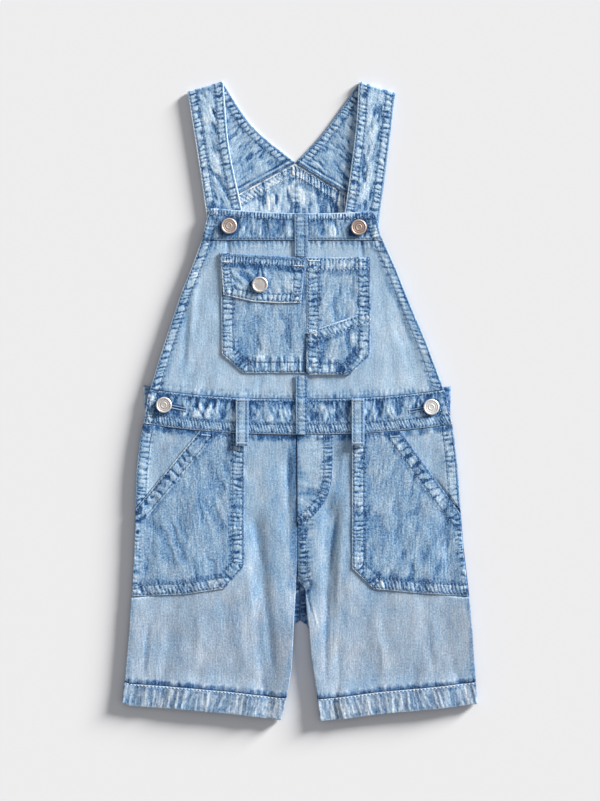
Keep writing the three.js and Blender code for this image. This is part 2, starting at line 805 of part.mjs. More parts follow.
function buttons() {
  const strapTop = 2 * DOUBLE + STRAP_GAP;
  const seats = {
    band: (x, y) => ({ foot: strapTop + SEAM_GAP, top: frontUnder(x, y) + DOUBLE }),
    waist: (x, y) => ({ foot: DOUBLE + SEAM_GAP, top: frontUnder(x, y) + DOUBLE + ROPING.height }),
    flap: (x, y) => ({ foot: onPocket(x, y), top: onPocket(x, y) + CLOTH }),
  };
  for (const b of BUTTONS) {
    const { foot, top } = seats[b.on](b.x, b.y);
    const mesh = add(b.name, button(foot, top + LAYER_GAP), BUTTON_METAL);
    mesh.position.set(b.x, b.y, 0);
  }
}

backLegs();
frontLegs();
waistbands();
bib();
centreStrips();
bibPockets();
handPockets();
beltLoops();
straps();
buttons();

export default garment;
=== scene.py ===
# %% [markdown]
# # Short denim dungarees for a small child, laid flat
#
# The garment lies on its back, buttoned up, and the camera looks straight down on it. The frame
# holds the plain solid of every cut piece. Here each of them gets the cloth that the real one is
# made of: pale washed twill, drawn up in small ridges along every seam, with rows of stitches,
# worked buttonholes and worn metal buttons.
#
# Sizes in this file are millimetres, as on a maker's pattern, and a mesh is turned to metres
# when it is made. +X is to the right as the front is seen, +Y runs towards the straps, +Z is up.

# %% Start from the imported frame
import math

import bpy
import numpy as np
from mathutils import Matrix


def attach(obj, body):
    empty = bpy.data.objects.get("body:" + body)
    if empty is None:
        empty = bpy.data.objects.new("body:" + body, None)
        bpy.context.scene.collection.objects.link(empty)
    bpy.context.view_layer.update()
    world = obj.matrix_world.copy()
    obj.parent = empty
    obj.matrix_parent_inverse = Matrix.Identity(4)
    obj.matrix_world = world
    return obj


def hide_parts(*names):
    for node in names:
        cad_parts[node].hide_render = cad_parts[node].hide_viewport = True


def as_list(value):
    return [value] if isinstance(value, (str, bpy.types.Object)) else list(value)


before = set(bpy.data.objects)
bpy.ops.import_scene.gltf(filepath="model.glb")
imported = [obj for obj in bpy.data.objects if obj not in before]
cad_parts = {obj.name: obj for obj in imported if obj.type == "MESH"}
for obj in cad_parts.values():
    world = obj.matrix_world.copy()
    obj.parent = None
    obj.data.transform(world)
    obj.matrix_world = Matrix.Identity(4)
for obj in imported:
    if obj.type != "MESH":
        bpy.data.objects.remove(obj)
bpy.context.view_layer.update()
MM = 0.001
print("frame:", len(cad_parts), "nodes")

# %% [markdown]
# ## Camera and light
#
# The photo looks straight down, so the camera stands far above with a long lens. Its picture is
# 0.82 mm a pixel at the height of the cloth. The shadows in the photo fall to the left and below,
# soft and about twice as long as the garment is high. A low broad sun from the upper right does
# that, and it also rakes over the gathers, which is what makes them stand out. A pale sky fills
# the shadows.

# %% Camera, sun and sky
PIXEL = 0.82
FRAME_HIGH = 801
CAMERA_HEIGHT = 2400
SENSOR = 36
VIEW_CENTRE = (0.4, 0.4)
SUN_FROM = 37  # degrees from +X towards +Y
SUN_HEIGHT = 14.8  # degrees above the floor
SUN_SPREAD = 17
SUN_POWER = 8.9
SKY_POWER = 0.38


def srgb(code):
    """Linear red, green, blue and 1 from a six-figure colour code: each part is undone from the screen's curve."""
    parts = [int(code[i : i + 2], 16) / 255 for i in (1, 3, 5)]
    return (*[p / 12.92 if p <= 0.04045 else ((p + 0.055) / 1.055) ** 2.4 for p in parts], 1.0)


def add_camera():
    """A camera over the middle of the view, with the lens that fits the photo's frame."""
    lens = bpy.data.cameras.new("camera")
    lens.sensor_width = SENSOR
    lens.lens = SENSOR * CAMERA_HEIGHT / (FRAME_HIGH * PIXEL)
    lens.clip_end = 20
    camera = bpy.data.objects.new("camera", lens)
    camera.location = (VIEW_CENTRE[0] * MM, VIEW_CENTRE[1] * MM, CAMERA_HEIGHT * MM)
    bpy.context.scene.collection.objects.link(camera)
    bpy.context.scene.camera = camera


def add_sun(name, azimuth, height, spread, power, colour):
    """A sun that shines from an azimuth and a height, both in degrees, with a spread for its softness."""
    light = bpy.data.lights.new(name, "SUN")
    light.energy = power
    light.angle = math.radians(spread)
    light.color = srgb(colour)[:3]
    sun = bpy.data.objects.new(name, light)
    sun.rotation_euler = (0, math.radians(90 - height), math.radians(azimuth))
    bpy.context.scene.collection.objects.link(sun)


def add_sky(colour, power):
    """An even sky, which lights the shadows."""
    world = bpy.data.worlds.new("sky")
    world.use_nodes = True
    background = world.node_tree.nodes["Background"]
    background.inputs["Color"].default_value = srgb(colour)
    background.inputs["Strength"].default_value = power
    bpy.context.scene.world = world


add_camera()
add_sun("window_light", SUN_FROM, SUN_HEIGHT, SUN_SPREAD, SUN_POWER, "#fffdf8")
add_sky("#f6f6f7", SKY_POWER)
bpy.context.scene.view_settings.view_transform = "Standard"
print("camera, sun and sky are set")

# %% [markdown]
# ## The cut
#
# A flat garment is a pattern laid out: every piece is known by its left and right edge at each
# height, and its lower and upper edge at each place across. These tables are the ones that the
# solids were cut with, so the cloth lies exactly where its solid is.


# %% Tables of the outline
def table(columns, *rows):
    """A short table as a dictionary: the name of a column gives its values as an array."""
    return dict(zip(columns.split(), np.array(rows, float).T))


def x_at(outline, y):
    """x of an outline at a height, straight between the table's rows."""
    return np.interp(y, outline["y"], outline["x"])


def y_at(outline, x):
    """y of an outline at a place across, straight between the table's rows."""
    return np.interp(x, outline["x"], outline["y"])


LEFT_SIDE = table(
    "y x",
    (-247, -145.6), (-225, -142.8), (-189, -139.8), (-159, -137.7), (-105, -135.1), (-58, -133.7),
    (-32, -130.8), (-16, -127.5), (4, -124.2), (38, -113.8), (62, -105.9), (89, -96.8),
    (111, -87.7), (132, -80), (151, -75.6), (158, -72),
)
RIGHT_SIDE = table(
    "y x",
    (-248, 145.6), (-216, 143.5), (-189, 141.8), (-159, 139), (-117, 134.1), (-92, 132.2),
    (-53, 129.6), (-32, 127.1), (-16, 124.5), (3, 120.5), (28, 111.4), (49, 103.6),
    (64, 97), (84, 88.6), (106, 80), (122, 72.8), (135, 66.5), (150, 63.2), (156, 58.5),
)
LEFT_INSEAM = table(
    "y x",
    (-262, -15.4), (-243, -10.5), (-235, -8.9), (-219, -6.3), (-189, -4.8), (-157, -3.2),
    (-130, -1.95), (-27, -2.55),
)
RIGHT_INSEAM = table(
    "y x",
    (-262, 16.8), (-240, 14.2), (-224, 11.6), (-209, 9.4), (-189, 7.8), (-172, 5.8),
    (-154, 4.6), (-147, -1), (-130, -1.65), (-27, -2.25),
)
BACK_LEFT_INSEAM = table(
    "y x", (-262, -18), (-225, -10), (-200, -7), (-184, -5), (-180, 0.35), (-27, 0.35)
)
BACK_RIGHT_INSEAM = table(
    "y x", (-262, 20), (-225, 14), (-200, 10), (-184, 6.5), (-180, 0.65), (-27, 0.65)
)
LEFT_HEM = table("x y", (-146, -246.8), (-139, -249.6), (-103, -252.2), (-61, -255.8), (-15, -261.2))
RIGHT_HEM = table("x y", (16.8, -262), (33, -260.8), (65, -256.4), (112.5, -252.2), (145.6, -248))
HAND_POCKET_LEFT = {
    "left": table("y x", (-160, -137.2), (-105, -134.6), (-88, -134), (-25, -82.4)),
    "right": table("y x", (-153.4, -61.1), (-135.5, -45.1), (-25, -45.1)),
    "low": table("x y", (-138, -160), (-93, -158.1), (-61, -153.4)),
}
HAND_POCKET_RIGHT = {
    "left": table("y x", (-153.8, 60.8), (-136.8, 42.9), (-25, 42.9)),
    "right": table("y x", (-160, 138.4), (-117, 133.6), (-92, 131.7), (-25, 82.4)),
    "low": table("x y", (61, -153.8), (99, -157.4), (139, -159.7)),
}
BIB_POCKET = {
    "left": table("y x", (23, -46.3), (38.5, -63.6), (121.4, -64.8)),
    "right": table("y x", (21.3, 41), (36.9, 57.8), (74, 58.4), (117.7, 57.4)),
    "top": table("x y", (-65, 121.4), (5.3, 117.2), (57.5, 117.6)),
    "tool_top": table("x y", (5.3, 55.8), (58.5, 74)),
    "divide": 5.3,
    "low_left": 22.8,
    "low_right": 21.6,
}
FLAP = {
    "left": table("y x", (86.8, -62.4), (121.4, -64.9)),
    "right": table("y x", (80.3, 1.2), (117.2, 5)),
    "low": table("x y", (-62.5, 86.8), (-38, 81.2), (-16, 79.9), (1.5, 80.3)),
}
FLY_WIDTH = table("y x", (-103, -2), (-97, 8), (-88, 17), (-76, 24), (-62, 27), (-27, 27.5))
BACK_BIB = {
    "left": table("y x", (8, -118), (38, -109), (89, -92), (132, -76.6), (157, -73)),
    "right": table("y x", (8, 115), (49, 99), (84, 84), (132, 65), (154.6, 62.7)),
    "yoke": table("x y", (-73.2, 157.2), (-3.4, 195), (62.9, 154.6)),
}
BACK_WAIST = {
    "left": table("y x", (-19, -126.5), (12, -128.3)),
    "right": table("y x", (-20, 123.4), (12, 124)),
    "extra": 2.5,
}
print("outline tables are ready")

# %% [markdown]
# ## How the layers lie
#
# The front is not glued to the back. It rises a few millimetres from its side seams, dips along
# soft folds in the legs, and is carried by the strap ends at the top of the bib. One function
# gives the height of its underside, and every pocket, band and loop on it is worked out from
# that same height, moved up by what lies below. So layers follow each other and never cross.

# %% Walls, gaps and the height of the front
CLOTH = 1.2
DOUBLE = 1.8
HEM_WALL = 2.0
LOOP_WALL = 1.2
STRIP_WALL = 0.7
SEAM_GAP = 0.3
THIN = 0.8  # a pocket or flap as it looks, pressed onto what is under it
CLOSE = 0.1
LOFT = 2.6
ROLL = 26
EDGE_ON_LEGS = CLOTH + SEAM_GAP
EDGE_ON_WAIST = DOUBLE + SEAM_GAP
STRAP_LIFT = 2.5
STRAP_GAP = 0.6
PASSING = {"waist": (-60, -32), "crotch": (-165, -95), "straps": (96, 121)}
WAIST = {"y": -27.5, "rise": 9, "half": 127, "power": 2.3, "height": 28.7}
BIB_BAND = {"seam": 131.5, "left": 157.4, "dip": 2.8, "right": 155.4, "half": 68}
HEM_HEIGHT = 18.3
FOLDS = table(
    "x0 y0 x1 y1 width height",
    (26, -72, 21, -262, 11, -1.5),
    (38, -58, 33, -262, 11, 0.5),
    (-36, -84, -20, -262, 11, -1.4),
    (-52, -166, -36, -262, 12, 0.5),
    (-105, -172, -118, -262, 13, -0.9),
    (-10, -34, -10, -100, 8, -0.7),
    (-92, 84, -94, 20, 11, -0.9),
    (70, 106, 103, 26, 9, -0.8),
)
FOLD_END = 22
FOLD_EDGE = 2


def smoothstep(value, low, high):
    """0 below low, 1 above high, and 3t² - 2t³ between them."""
    t = np.clip((value - low) / (high - low), 0, 1)
    return t * t * (3 - 2 * t)


def mix(a, b, share):
    """a where share is 0 and b where it is 1."""
    return a + (b - a) * share


def waist_low(x):
    """The waist seam: it rises towards the sides as |x|^2.3."""
    return WAIST["y"] + WAIST["rise"] * np.abs(x / WAIST["half"]) ** WAIST["power"]


def waist_top(x):
    """The waistband's upper edge, parallel to the seam."""
    return waist_low(x) + WAIST["height"]


def bib_top(x):
    """The bib's upper edge: a straight line with half a sine wave's dip."""
    t = np.clip((x / BIB_BAND["half"] + 1) / 2, 0, 1)
    return mix(BIB_BAND["left"], BIB_BAND["right"], t) - BIB_BAND["dip"] * np.sin(math.pi * t)


def bells(folds, x, y):
    """Sum of soft folds: each is a bell across its line, and fades out at both ends."""
    total = np.zeros_like(x)
    for x0, y0, x1, y1, width, height in zip(*folds.values()):
        dx, dy = x1 - x0, y1 - y0
        length = math.hypot(dx, dy)
        along = ((x - x0) * dx + (y - y0) * dy) / length
        across = ((x - x0) * dy - (y - y0) * dx) / length
        fade = smoothstep(along, 0, FOLD_END) * (1 - smoothstep(along, length, length + FOLD_END))
        total += height * fade * np.exp(-FOLD_EDGE * (across / width) ** 2)
    return total


def roll_off(distance):
    """A quarter wave from 0 at an edge to 1 at ROLL inside it."""
    return np.sin(math.pi / 2 * np.clip(distance / ROLL, 0, 1))


def front_under(x, y):
    """Height of the front's underside: its edge, plus the loft and the folds inside its edges."""
    edge = mix(EDGE_ON_LEGS, EDGE_ON_WAIST, smoothstep(y, *PASSING["waist"]))
    to_side = np.minimum(x - x_at(LEFT_SIDE, y), x_at(RIGHT_SIDE, y) - x)
    inseam = np.where(x < 0, x_at(LEFT_INSEAM, y) - x, x - x_at(RIGHT_INSEAM, y))
    split = 1 - smoothstep(y, *PASSING["crotch"])
    crown = roll_off(to_side) * mix(1, roll_off(np.maximum(inseam, 0)), split)
    lying = np.maximum(0, crown * (LOFT + bells(FOLDS, x, y)))
    return edge + mix(lying, STRAP_LIFT, smoothstep(y, *PASSING["straps"]))


def on_floor(x, y):
    """The back lies on the surface."""
    return np.zeros_like(x)


print("front stands at most", round(float(front_under(np.array([60.0]), np.array([-100.0]))[0]), 2), "mm up")

# %% [markdown]
# ## Lines on the cloth
#
# Seams, rows of stitches and worn edges all follow a line. To know how far a point of the cloth
# is along a line and how far to its left, the line is held as a few straight stretches, and the
# nearest one counts. Lines run counter-clockwise round a piece, so the cloth is always on the
# left and one sign serves for every edge. The random part of the cloth, such as uneven ridges,
# comes from one small seeded lattice, so that every run gives the same garment.

# %% Following a line, moving it inwards, and smooth random values
LATTICE = np.random.default_rng(11).random((64, 64))


def line(*points):
    """A line through points given as x, y."""
    return np.array(points, float)


def follow(path, x, y):
    """How far along a line each point is, and how far to its left: from the nearest straight stretch."""
    nearest = np.full(x.shape, np.inf)
    along = np.zeros(x.shape)
    aside = np.zeros(x.shape)
    start = 0.0
    for (ax, ay), (bx, by) in zip(path[:-1], path[1:]):
        dx, dy = bx - ax, by - ay
        length = math.hypot(dx, dy)
        t = np.clip(((x - ax) * dx + (y - ay) * dy) / length**2, 0, 1)
        distance = np.hypot(x - ax - t * dx, y - ay - t * dy)
        side = np.sign(dx * (y - ay) - dy * (x - ax))
        closer = distance < nearest
        nearest = np.where(closer, distance, nearest)
        along = np.where(closer, start + t * length, along)
        aside = np.where(closer, side * distance, aside)
        start += length
    return along, aside


def inset(path, distance):
    """A line moved to its left: each corner goes along the bisector, by distance over the half-angle's cosine."""
    step = np.diff(path, axis=0)
    step /= np.linalg.norm(step, axis=1, keepdims=True)
    left = np.stack([-step[:, 1], step[:, 0]], axis=1)
    before = np.concatenate([left[:1], left])
    after = np.concatenate([left, left[-1:]])
    bisector = before + after
    return path + distance * 2 * bisector / (bisector**2).sum(axis=1, keepdims=True)


def even_points(path, pitch):
    """Points along a line at even steps of about pitch, with the directions there."""
    step = np.diff(path, axis=0)
    lengths = np.hypot(*step.T)
    reach = np.concatenate([[0], np.cumsum(lengths)])
    count = max(1, int(round(reach[-1] / pitch)))
    at = np.linspace(0, reach[-1], count + 1)
    return np.stack([np.interp(at, reach, path[:, k]) for k in (0, 1)], axis=1), at


def noise(x, y, seed):
    """Smooth random values from 0 to 1: the lattice's numbers, blended with 3t² - 2t³."""
    x = np.asarray(x + seed * 7.31)
    y = np.asarray(y + seed * 3.77)
    i, j = np.floor(x).astype(int), np.floor(y).astype(int)
    fx, fy = x - i, y - j
    fx, fy = fx * fx * (3 - 2 * fx), fy * fy * (3 - 2 * fy)
    at = lambda a, b: LATTICE[(i + a) % 64, (j + b) % 64]
    return mix(mix(at(0, 0), at(1, 0), fx), mix(at(0, 1), at(1, 1), fx), fy)


def random_of(number, seed):
    """One random value from 0 to 1 for each whole number."""
    number = number.astype(int)
    return LATTICE[(number * 7 + seed * 5) % 64, (number // 9 + seed * 11) % 64]


print("lattice of", LATTICE.size, "random numbers")

# %% [markdown]
# ## What a seam does to denim
#
# Thread shrinks less than denim in the wash, so cloth gathers along every row: short ridges stand
# across the seam. On the ridges the dye is rubbed off, and between them it stays deep blue. Such
# an effect is a function of place that gives two things at once, a height for the mesh and a
# shade for the dye. A piece's effects are summed, so relief and colour always agree.
#
# The other way would be a bump texture. Real relief was chosen because the low light has to
# cast real shadows between the ridges, and because the ridges show in the outline of the hems.

# %% Effects: gathers, grooves, ink, creases and rub
GATHERS = {
    # spacing and height of the ridges; how pale their tops are and how dark the cloth is between
    # them; how flat the tops are and how wide the dark is; how uneven they are; how far they run on
    "blocks": dict(
        spacing=4.1, height=0.30, pale=0.15, dark=0.39, flat=0.6, cut=0.38, wander=0.9, uneven=0.5, spill=3.0
    ),
    "patches": dict(
        spacing=7.6, height=0.34, pale=0.16, dark=0.50, flat=0.5, cut=0.38, wander=0.8, uneven=0.4, spill=2.6
    ),
    "pucker": dict(
        spacing=3.1, height=0.28, pale=0.18, dark=0.30, flat=0.8, cut=0.44, wander=0.5, uneven=0.5, spill=3.0
    ),
    "fine": dict(
        spacing=2.3, height=0.26, pale=0.17, dark=0.52, flat=0.8, cut=0.50, wander=0.3, uneven=0.3, spill=2.2
    ),
    "links": dict(
        spacing=4.2, height=0.32, pale=0.15, dark=0.46, flat=0.6, cut=0.44, wander=0.8, uneven=0.5, spill=2.4
    ),
    "knots": dict(
        spacing=3.3, height=0.34, pale=0.20, dark=0.48, flat=0.7, cut=0.48, wander=0.9, uneven=0.5, spill=4.5
    ),
    "pleats": dict(
        spacing=4.8, height=0.26, pale=0.19, dark=0.12, flat=1.7, cut=0.52, wander=1.1, uneven=0.6, spill=0.5
    ),
    "loose": dict(
        spacing=4.0, height=0.24, pale=0.12, dark=0.20, flat=1.0, cut=0.45, wander=0.8, uneven=0.8, spill=2.8
    ),
}


def gathers(path, near, far, kind, seed, lean=0.0, amount=1.0):
    """Ridges across a seam between two rows, and shorter ones beyond the second: a raised cosine in
    the distance along the line, of uneven spacing, size and skew, broken up by smooth random values."""
    k = GATHERS[kind]

    def effect(x, y):
        along, aside = follow(path, x, y)
        at = along + lean * aside
        shift = (noise(at / (2.3 * k["spacing"]), aside / 34, seed) - 0.5) * 2 * k["wander"]
        shift += 0.3 * (noise(at / (0.8 * k["spacing"]), aside / 2.4, seed + 6) - 0.5)
        phase = at / k["spacing"] + shift
        ridge = np.floor(phase)
        skew = 0.7 + 0.7 * random_of(ridge, seed + 1)
        size = 1 - k["uneven"] * random_of(ridge, seed)
        wave = (0.5 - 0.5 * np.cos(2 * math.pi * (phase - ridge) ** skew)) ** k["flat"]
        broken = np.clip(2.0 * noise(at / (0.6 * k["spacing"]), aside / 2.4, seed + 2) - 0.10, 0, 1)
        wave = wave * (0.35 + 0.65 * broken)
        partial = np.clip(2.4 * noise(at / (0.9 * k["spacing"]), aside / 3.4, seed + 8) - 0.45, 0.12, 1.25)
        reach = k["spill"] * (0.4 + 1.6 * random_of(ridge, seed + 3))
        between = smoothstep(aside, near - 0.6, near + 0.8) * (1 - smoothstep(aside, far - 0.8, far + 0.5))
        beyond = smoothstep(aside, far - 0.2, far + 0.7) * (1 - smoothstep(aside, far + 0.4, far + reach))
        height = k["height"] * size * wave * (between + 0.6 * beyond)
        tone = mix(-k["dark"] * partial, k["pale"] * size, smoothstep(wave, k["cut"] - 0.2, k["cut"] + 0.16))
        shade = tone * between + (0.75 * tone - 0.05) * beyond
        return amount * height, amount * shade

    return effect


def strokes(path, near, far, width, length, height, shade, seed, lean=0.0):
    """Uneven folds that run away from a seam: random values stretched across it and sharpened."""

    def effect(x, y):
        along, aside = follow(path, x, y)
        at = along + lean * aside
        n = 0.62 * noise(at / width, aside / length, seed) + 0.38 * noise(at / (0.47 * width), aside / 7, seed + 4)
        ridge = smoothstep(n, 0.38, 0.64)
        inside = smoothstep(aside, near - 0.4, near + 0.8) * (1 - smoothstep(aside, far - 1.0, far + 2.0))
        return height * ridge * inside, shade * (1.5 * ridge - 0.95) * inside

    return effect


GROOVE = {"depth": 0.14, "half": 0.58, "shade": 0.30}


def groove(path, distance):
    """The hollow that a row of stitches presses: a bell across the row."""

    def effect(x, y):
        _, aside = follow(path, x, y)
        bell = np.exp(-(((aside - distance) / GROOVE["half"]) ** 2))
        return -GROOVE["depth"] * bell, -GROOVE["shade"] * bell

    return effect


def ink(path, near, far, depth, seed, ragged=9.0):
    """A stripe beside a seam that kept its dye, because it was folded away from the wash."""

    def effect(x, y):
        along, aside = follow(path, x, y)
        reach = mix(near, far, 0.25 + 0.75 * noise(along / ragged, 0.0, seed))
        strength = 0.45 + 0.55 * noise(along / (1.7 * ragged), 4.0, seed + 1)
        stripe = smoothstep(aside, near - 0.6, near + 0.4) * (1 - smoothstep(aside, reach - 1.2, reach + 1.4))
        return np.zeros_like(x), -depth * strength * stripe

    return effect


def rub(path, width, gain):
    """A folded edge that is rubbed pale: strongest on the line, gone at width. The paleness is partly
    painted light: it is scaled by how the edge faces the sun, larger on an edge turned away from it
    and smaller on one that faces it."""
    dx, dy = path[-1] - path[0]
    sun = math.radians(SUN_FROM)
    facing = (dy * math.cos(sun) - dx * math.sin(sun)) / math.hypot(dx, dy)
    # Painted light: more pale on an edge turned away from the sun, less on one that faces it.
    gain = gain * (0.75 - 0.5 * facing)

    def effect(x, y):
        _, aside = follow(path, x, y)
        return np.zeros_like(x), gain * (1 - smoothstep(np.abs(aside), 0.35 * width, width))

    return effect


def crumple(angle, spacing, length, height, shade, seed, where=None):
    """Cloth that is creased all over in one direction: smooth random values, stretched along it.
    Where they are low there is a narrow dark crease, and where they are high a pale swelling."""
    c, s = math.cos(math.radians(angle)), math.sin(math.radians(angle))

    def effect(x, y):
        along, across = x * c + y * s, -x * s + y * c
        bend = 1.3 * (noise(x / 9, y / 9, seed + 7) - 0.5)
        n = 0.62 * noise(across / spacing + bend, along / length, seed)
        n += 0.38 * noise(across / spacing * 2.1, along / length * 1.8, seed + 5)
        tone = 0.5 * smoothstep(n, 0.50, 0.68) - (1 - smoothstep(n, 0.33, 0.45))
        tone = tone * (0.3 + 1.1 * noise(x / 11, y / 14, seed + 9))
        tone = tone * (1 if where is None else where(x, y))
        return height * tone, shade * tone

    return effect


def creases(rows):
    """Creases laid one by one: a bell of height across each line, with its own shade."""

    def effect(x, y):
        height, shade = np.zeros_like(x), np.zeros_like(x)
        for x0, y0, x1, y1, width, rise, tint in zip(*rows.values()):
            dx, dy = x1 - x0, y1 - y0
            length = math.hypot(dx, dy)
            along = ((x - x0) * dx + (y - y0) * dy) / length
            across = ((x - x0) * dy - (y - y0) * dx) / length
            taper = smoothstep(along, -2, 0.3 * length) * (1 - smoothstep(along, 0.7 * length, length + 2))
            bell = np.exp(-2 * (across / width) ** 2) * taper
            height += rise * bell
            shade += tint * bell
        return height, shade

    return effect


def slit(x0, y0, angle, length):
    """A buttonhole's cut: a narrow trough from the button to the far end, darkened as painted shade,
    between its stitched lips, with a darker band beside it on each side.
    """
    c, s = math.cos(math.radians(angle)), math.sin(math.radians(angle))

    def effect(x, y):
        along, across = (x - x0) * c + (y - y0) * s, -(x - x0) * s + (y - y0) * c
        inside = smoothstep(along, -1, 0) * (1 - smoothstep(along, length - 0.6, length))
        cut = np.exp(-((across / 0.5) ** 2)) * inside
        around = np.exp(-(((np.abs(across) - 2.0) / 0.7) ** 2)) * inside
        return -0.6 * cut, -0.45 * cut - 0.22 * around

    return effect


def seat(x0, y0, dark):
    """Where a button sits, the cloth is drawn in a little, and painted shade darkens it round the button."""

    def effect(x, y):
        near = np.exp(-((np.hypot(x - x0, y - y0) / 8.4) ** 6))
        return -0.1 * near, -dark * near

    return effect


def tone(gain, where):
    """A part of a piece painted paler than the rest: painted light on the side that the light comes from."""

    def effect(x, y):
        return np.zeros_like(x), gain * where(x, y)

    return effect


def total(effects, x, y):
    """Sum of the heights and of the shades of several effects."""
    height, shade = np.zeros_like(x), np.zeros_like(x)
    for effect in effects:
        h, s = effect(x, y)
        height += h
        shade += s
    return height, shade


print("kinds of gathers:", ", ".join(GATHERS))

# %% [markdown]
# ## A cloth piece as a closed thin shell
#
# A cloth piece is a grid of its outer points and a grid of its inner ones, closed round the rim.
# The outer grid is fine, about a millimetre, because it carries the gathers. The hidden inner
# one keeps only every few rows and columns, and a rim of triangles joins the two, so the shell
# is closed and yet light. Near its edges the outer face is rounded off, as cut or folded cloth is.


# %% From grids to a mesh
def grid_quads(index):
    """Four-cornered faces of a grid of point numbers, which face up where rows run along +Y."""
    corners = index[:-1, :-1], index[:-1, 1:], index[1:, 1:], index[1:, :-1]
    return np.stack([c.ravel() for c in corners], axis=1)


def rim_triangles(fine, coarse, step):
    """A strip between a fine and a coarse row: each fine edge meets its nearest coarse point, and
    each coarse edge the fine point halfway."""
    half = step // 2
    edge = np.arange(len(fine) - 1)
    fans = np.stack([fine[:-1], coarse[(edge + half) // step], fine[1:]], axis=1)
    k = np.arange(len(coarse) - 1)
    links = np.stack([coarse[:-1], coarse[1:], fine[(k + 1) * step - half]], axis=1)
    return np.concatenate([fans, links])


def closed_shell(outer, inner, step):
    """Points, quads and triangles of a shell whose inner grid keeps every step-th row and column."""
    rows, columns = outer.shape[:2]
    kept = inner[::step, ::step]
    fine = np.arange(rows * columns).reshape(rows, columns)
    coarse = rows * columns + np.arange(kept.shape[0] * kept.shape[1]).reshape(kept.shape[:2])
    quads = np.concatenate([grid_quads(fine), grid_quads(coarse[:, ::-1])])
    sides = [
        (fine[0], coarse[0]),
        (fine[:, -1], coarse[:, -1]),
        (fine[-1, ::-1], coarse[-1, ::-1]),
        (fine[::-1, 0], coarse[::-1, 0]),
    ]
    rim = np.concatenate([rim_triangles(a, b, step) for a, b in sides])
    return np.concatenate([outer.reshape(-1, 3), kept.reshape(-1, 3)]), quads, rim


def make_mesh(name, points, quads, triangles, material, values=(), grain=None, smooth=True):
    """A smooth object at the origin from points in millimetres. values are named numbers for each
    point, and grain is a place on the cloth for each point, kept as a map."""
    mesh = bpy.data.meshes.new(name)
    mesh.vertices.add(len(points))
    mesh.vertices.foreach_set("co", (points * MM).astype(np.float32).ravel())
    corners = np.concatenate([quads.ravel(), triangles.ravel()]).astype(np.int32)
    sizes = np.concatenate([np.full(len(quads), 4), np.full(len(triangles), 3)])
    mesh.loops.add(len(corners))
    mesh.loops.foreach_set("vertex_index", corners)
    mesh.polygons.add(len(sizes))
    starts = np.concatenate([[0], np.cumsum(sizes)[:-1]]).astype(np.int32)
    mesh.polygons.foreach_set("loop_start", starts)
    mesh.polygons.foreach_set("use_smooth", np.full(len(sizes), smooth))
    mesh.update(calc_edges=True)
    for key, per_point in values:
        data = mesh.attributes.new(key, "FLOAT", "POINT").data
        data.foreach_set("value", per_point.astype(np.float32))
    if grain is not None:
        uv = mesh.uv_layers.new(name="grain")
        uv.data.foreach_set("uv", (grain[corners] * MM).astype(np.float32).ravel())
    mesh.materials.append(material)
    made = bpy.data.objects.new(name, mesh)
    bpy.context.scene.collection.objects.link(made)
    return made


NO_TRIANGLES = np.zeros((0, 3), int)
ROUND_WIDTH = 0.45  # an edge is rounded over this width
# The low sun is far brighter on an edge that faces it than a wide lamp would be, so such an edge
# gets painted shade: it is darkened on its round, and on the slope beside it.
SUNWARD = (0.3 * math.cos(math.radians(SUN_FROM)), 0.3 * math.sin(math.radians(SUN_FROM)))
SUNLIT_EDGE_PAINTED_SHADE = {"rim": 0.30, "slope": 0.12}
EDGE_STEPS = (0, 0.12, 0.35, 0.75)  # how close the columns next to an edge lie


EVEN = ((0, 1), (0, 1))


def shares(length, pitch, step, spread=EVEN):
    """Shares from 0 to 1: close at both ends for the round of the edge, and in a number that step
    divides. Between the ends they are even, or denser where spread, two rows of a table, says so."""
    ends = np.array(EDGE_STEPS) / length
    inner = max(2, int(math.ceil((length - 2 * EDGE_STEPS[-1]) / pitch)))
    inner += -(inner + 2 * (len(ends) - 1)) % step
    middle = mix(ends[-1], 1 - ends[-1], np.interp(np.linspace(0, 1, inner + 1), *spread))
    return np.concatenate([ends[:-1], middle, 1 - ends[:-1][::-1]])


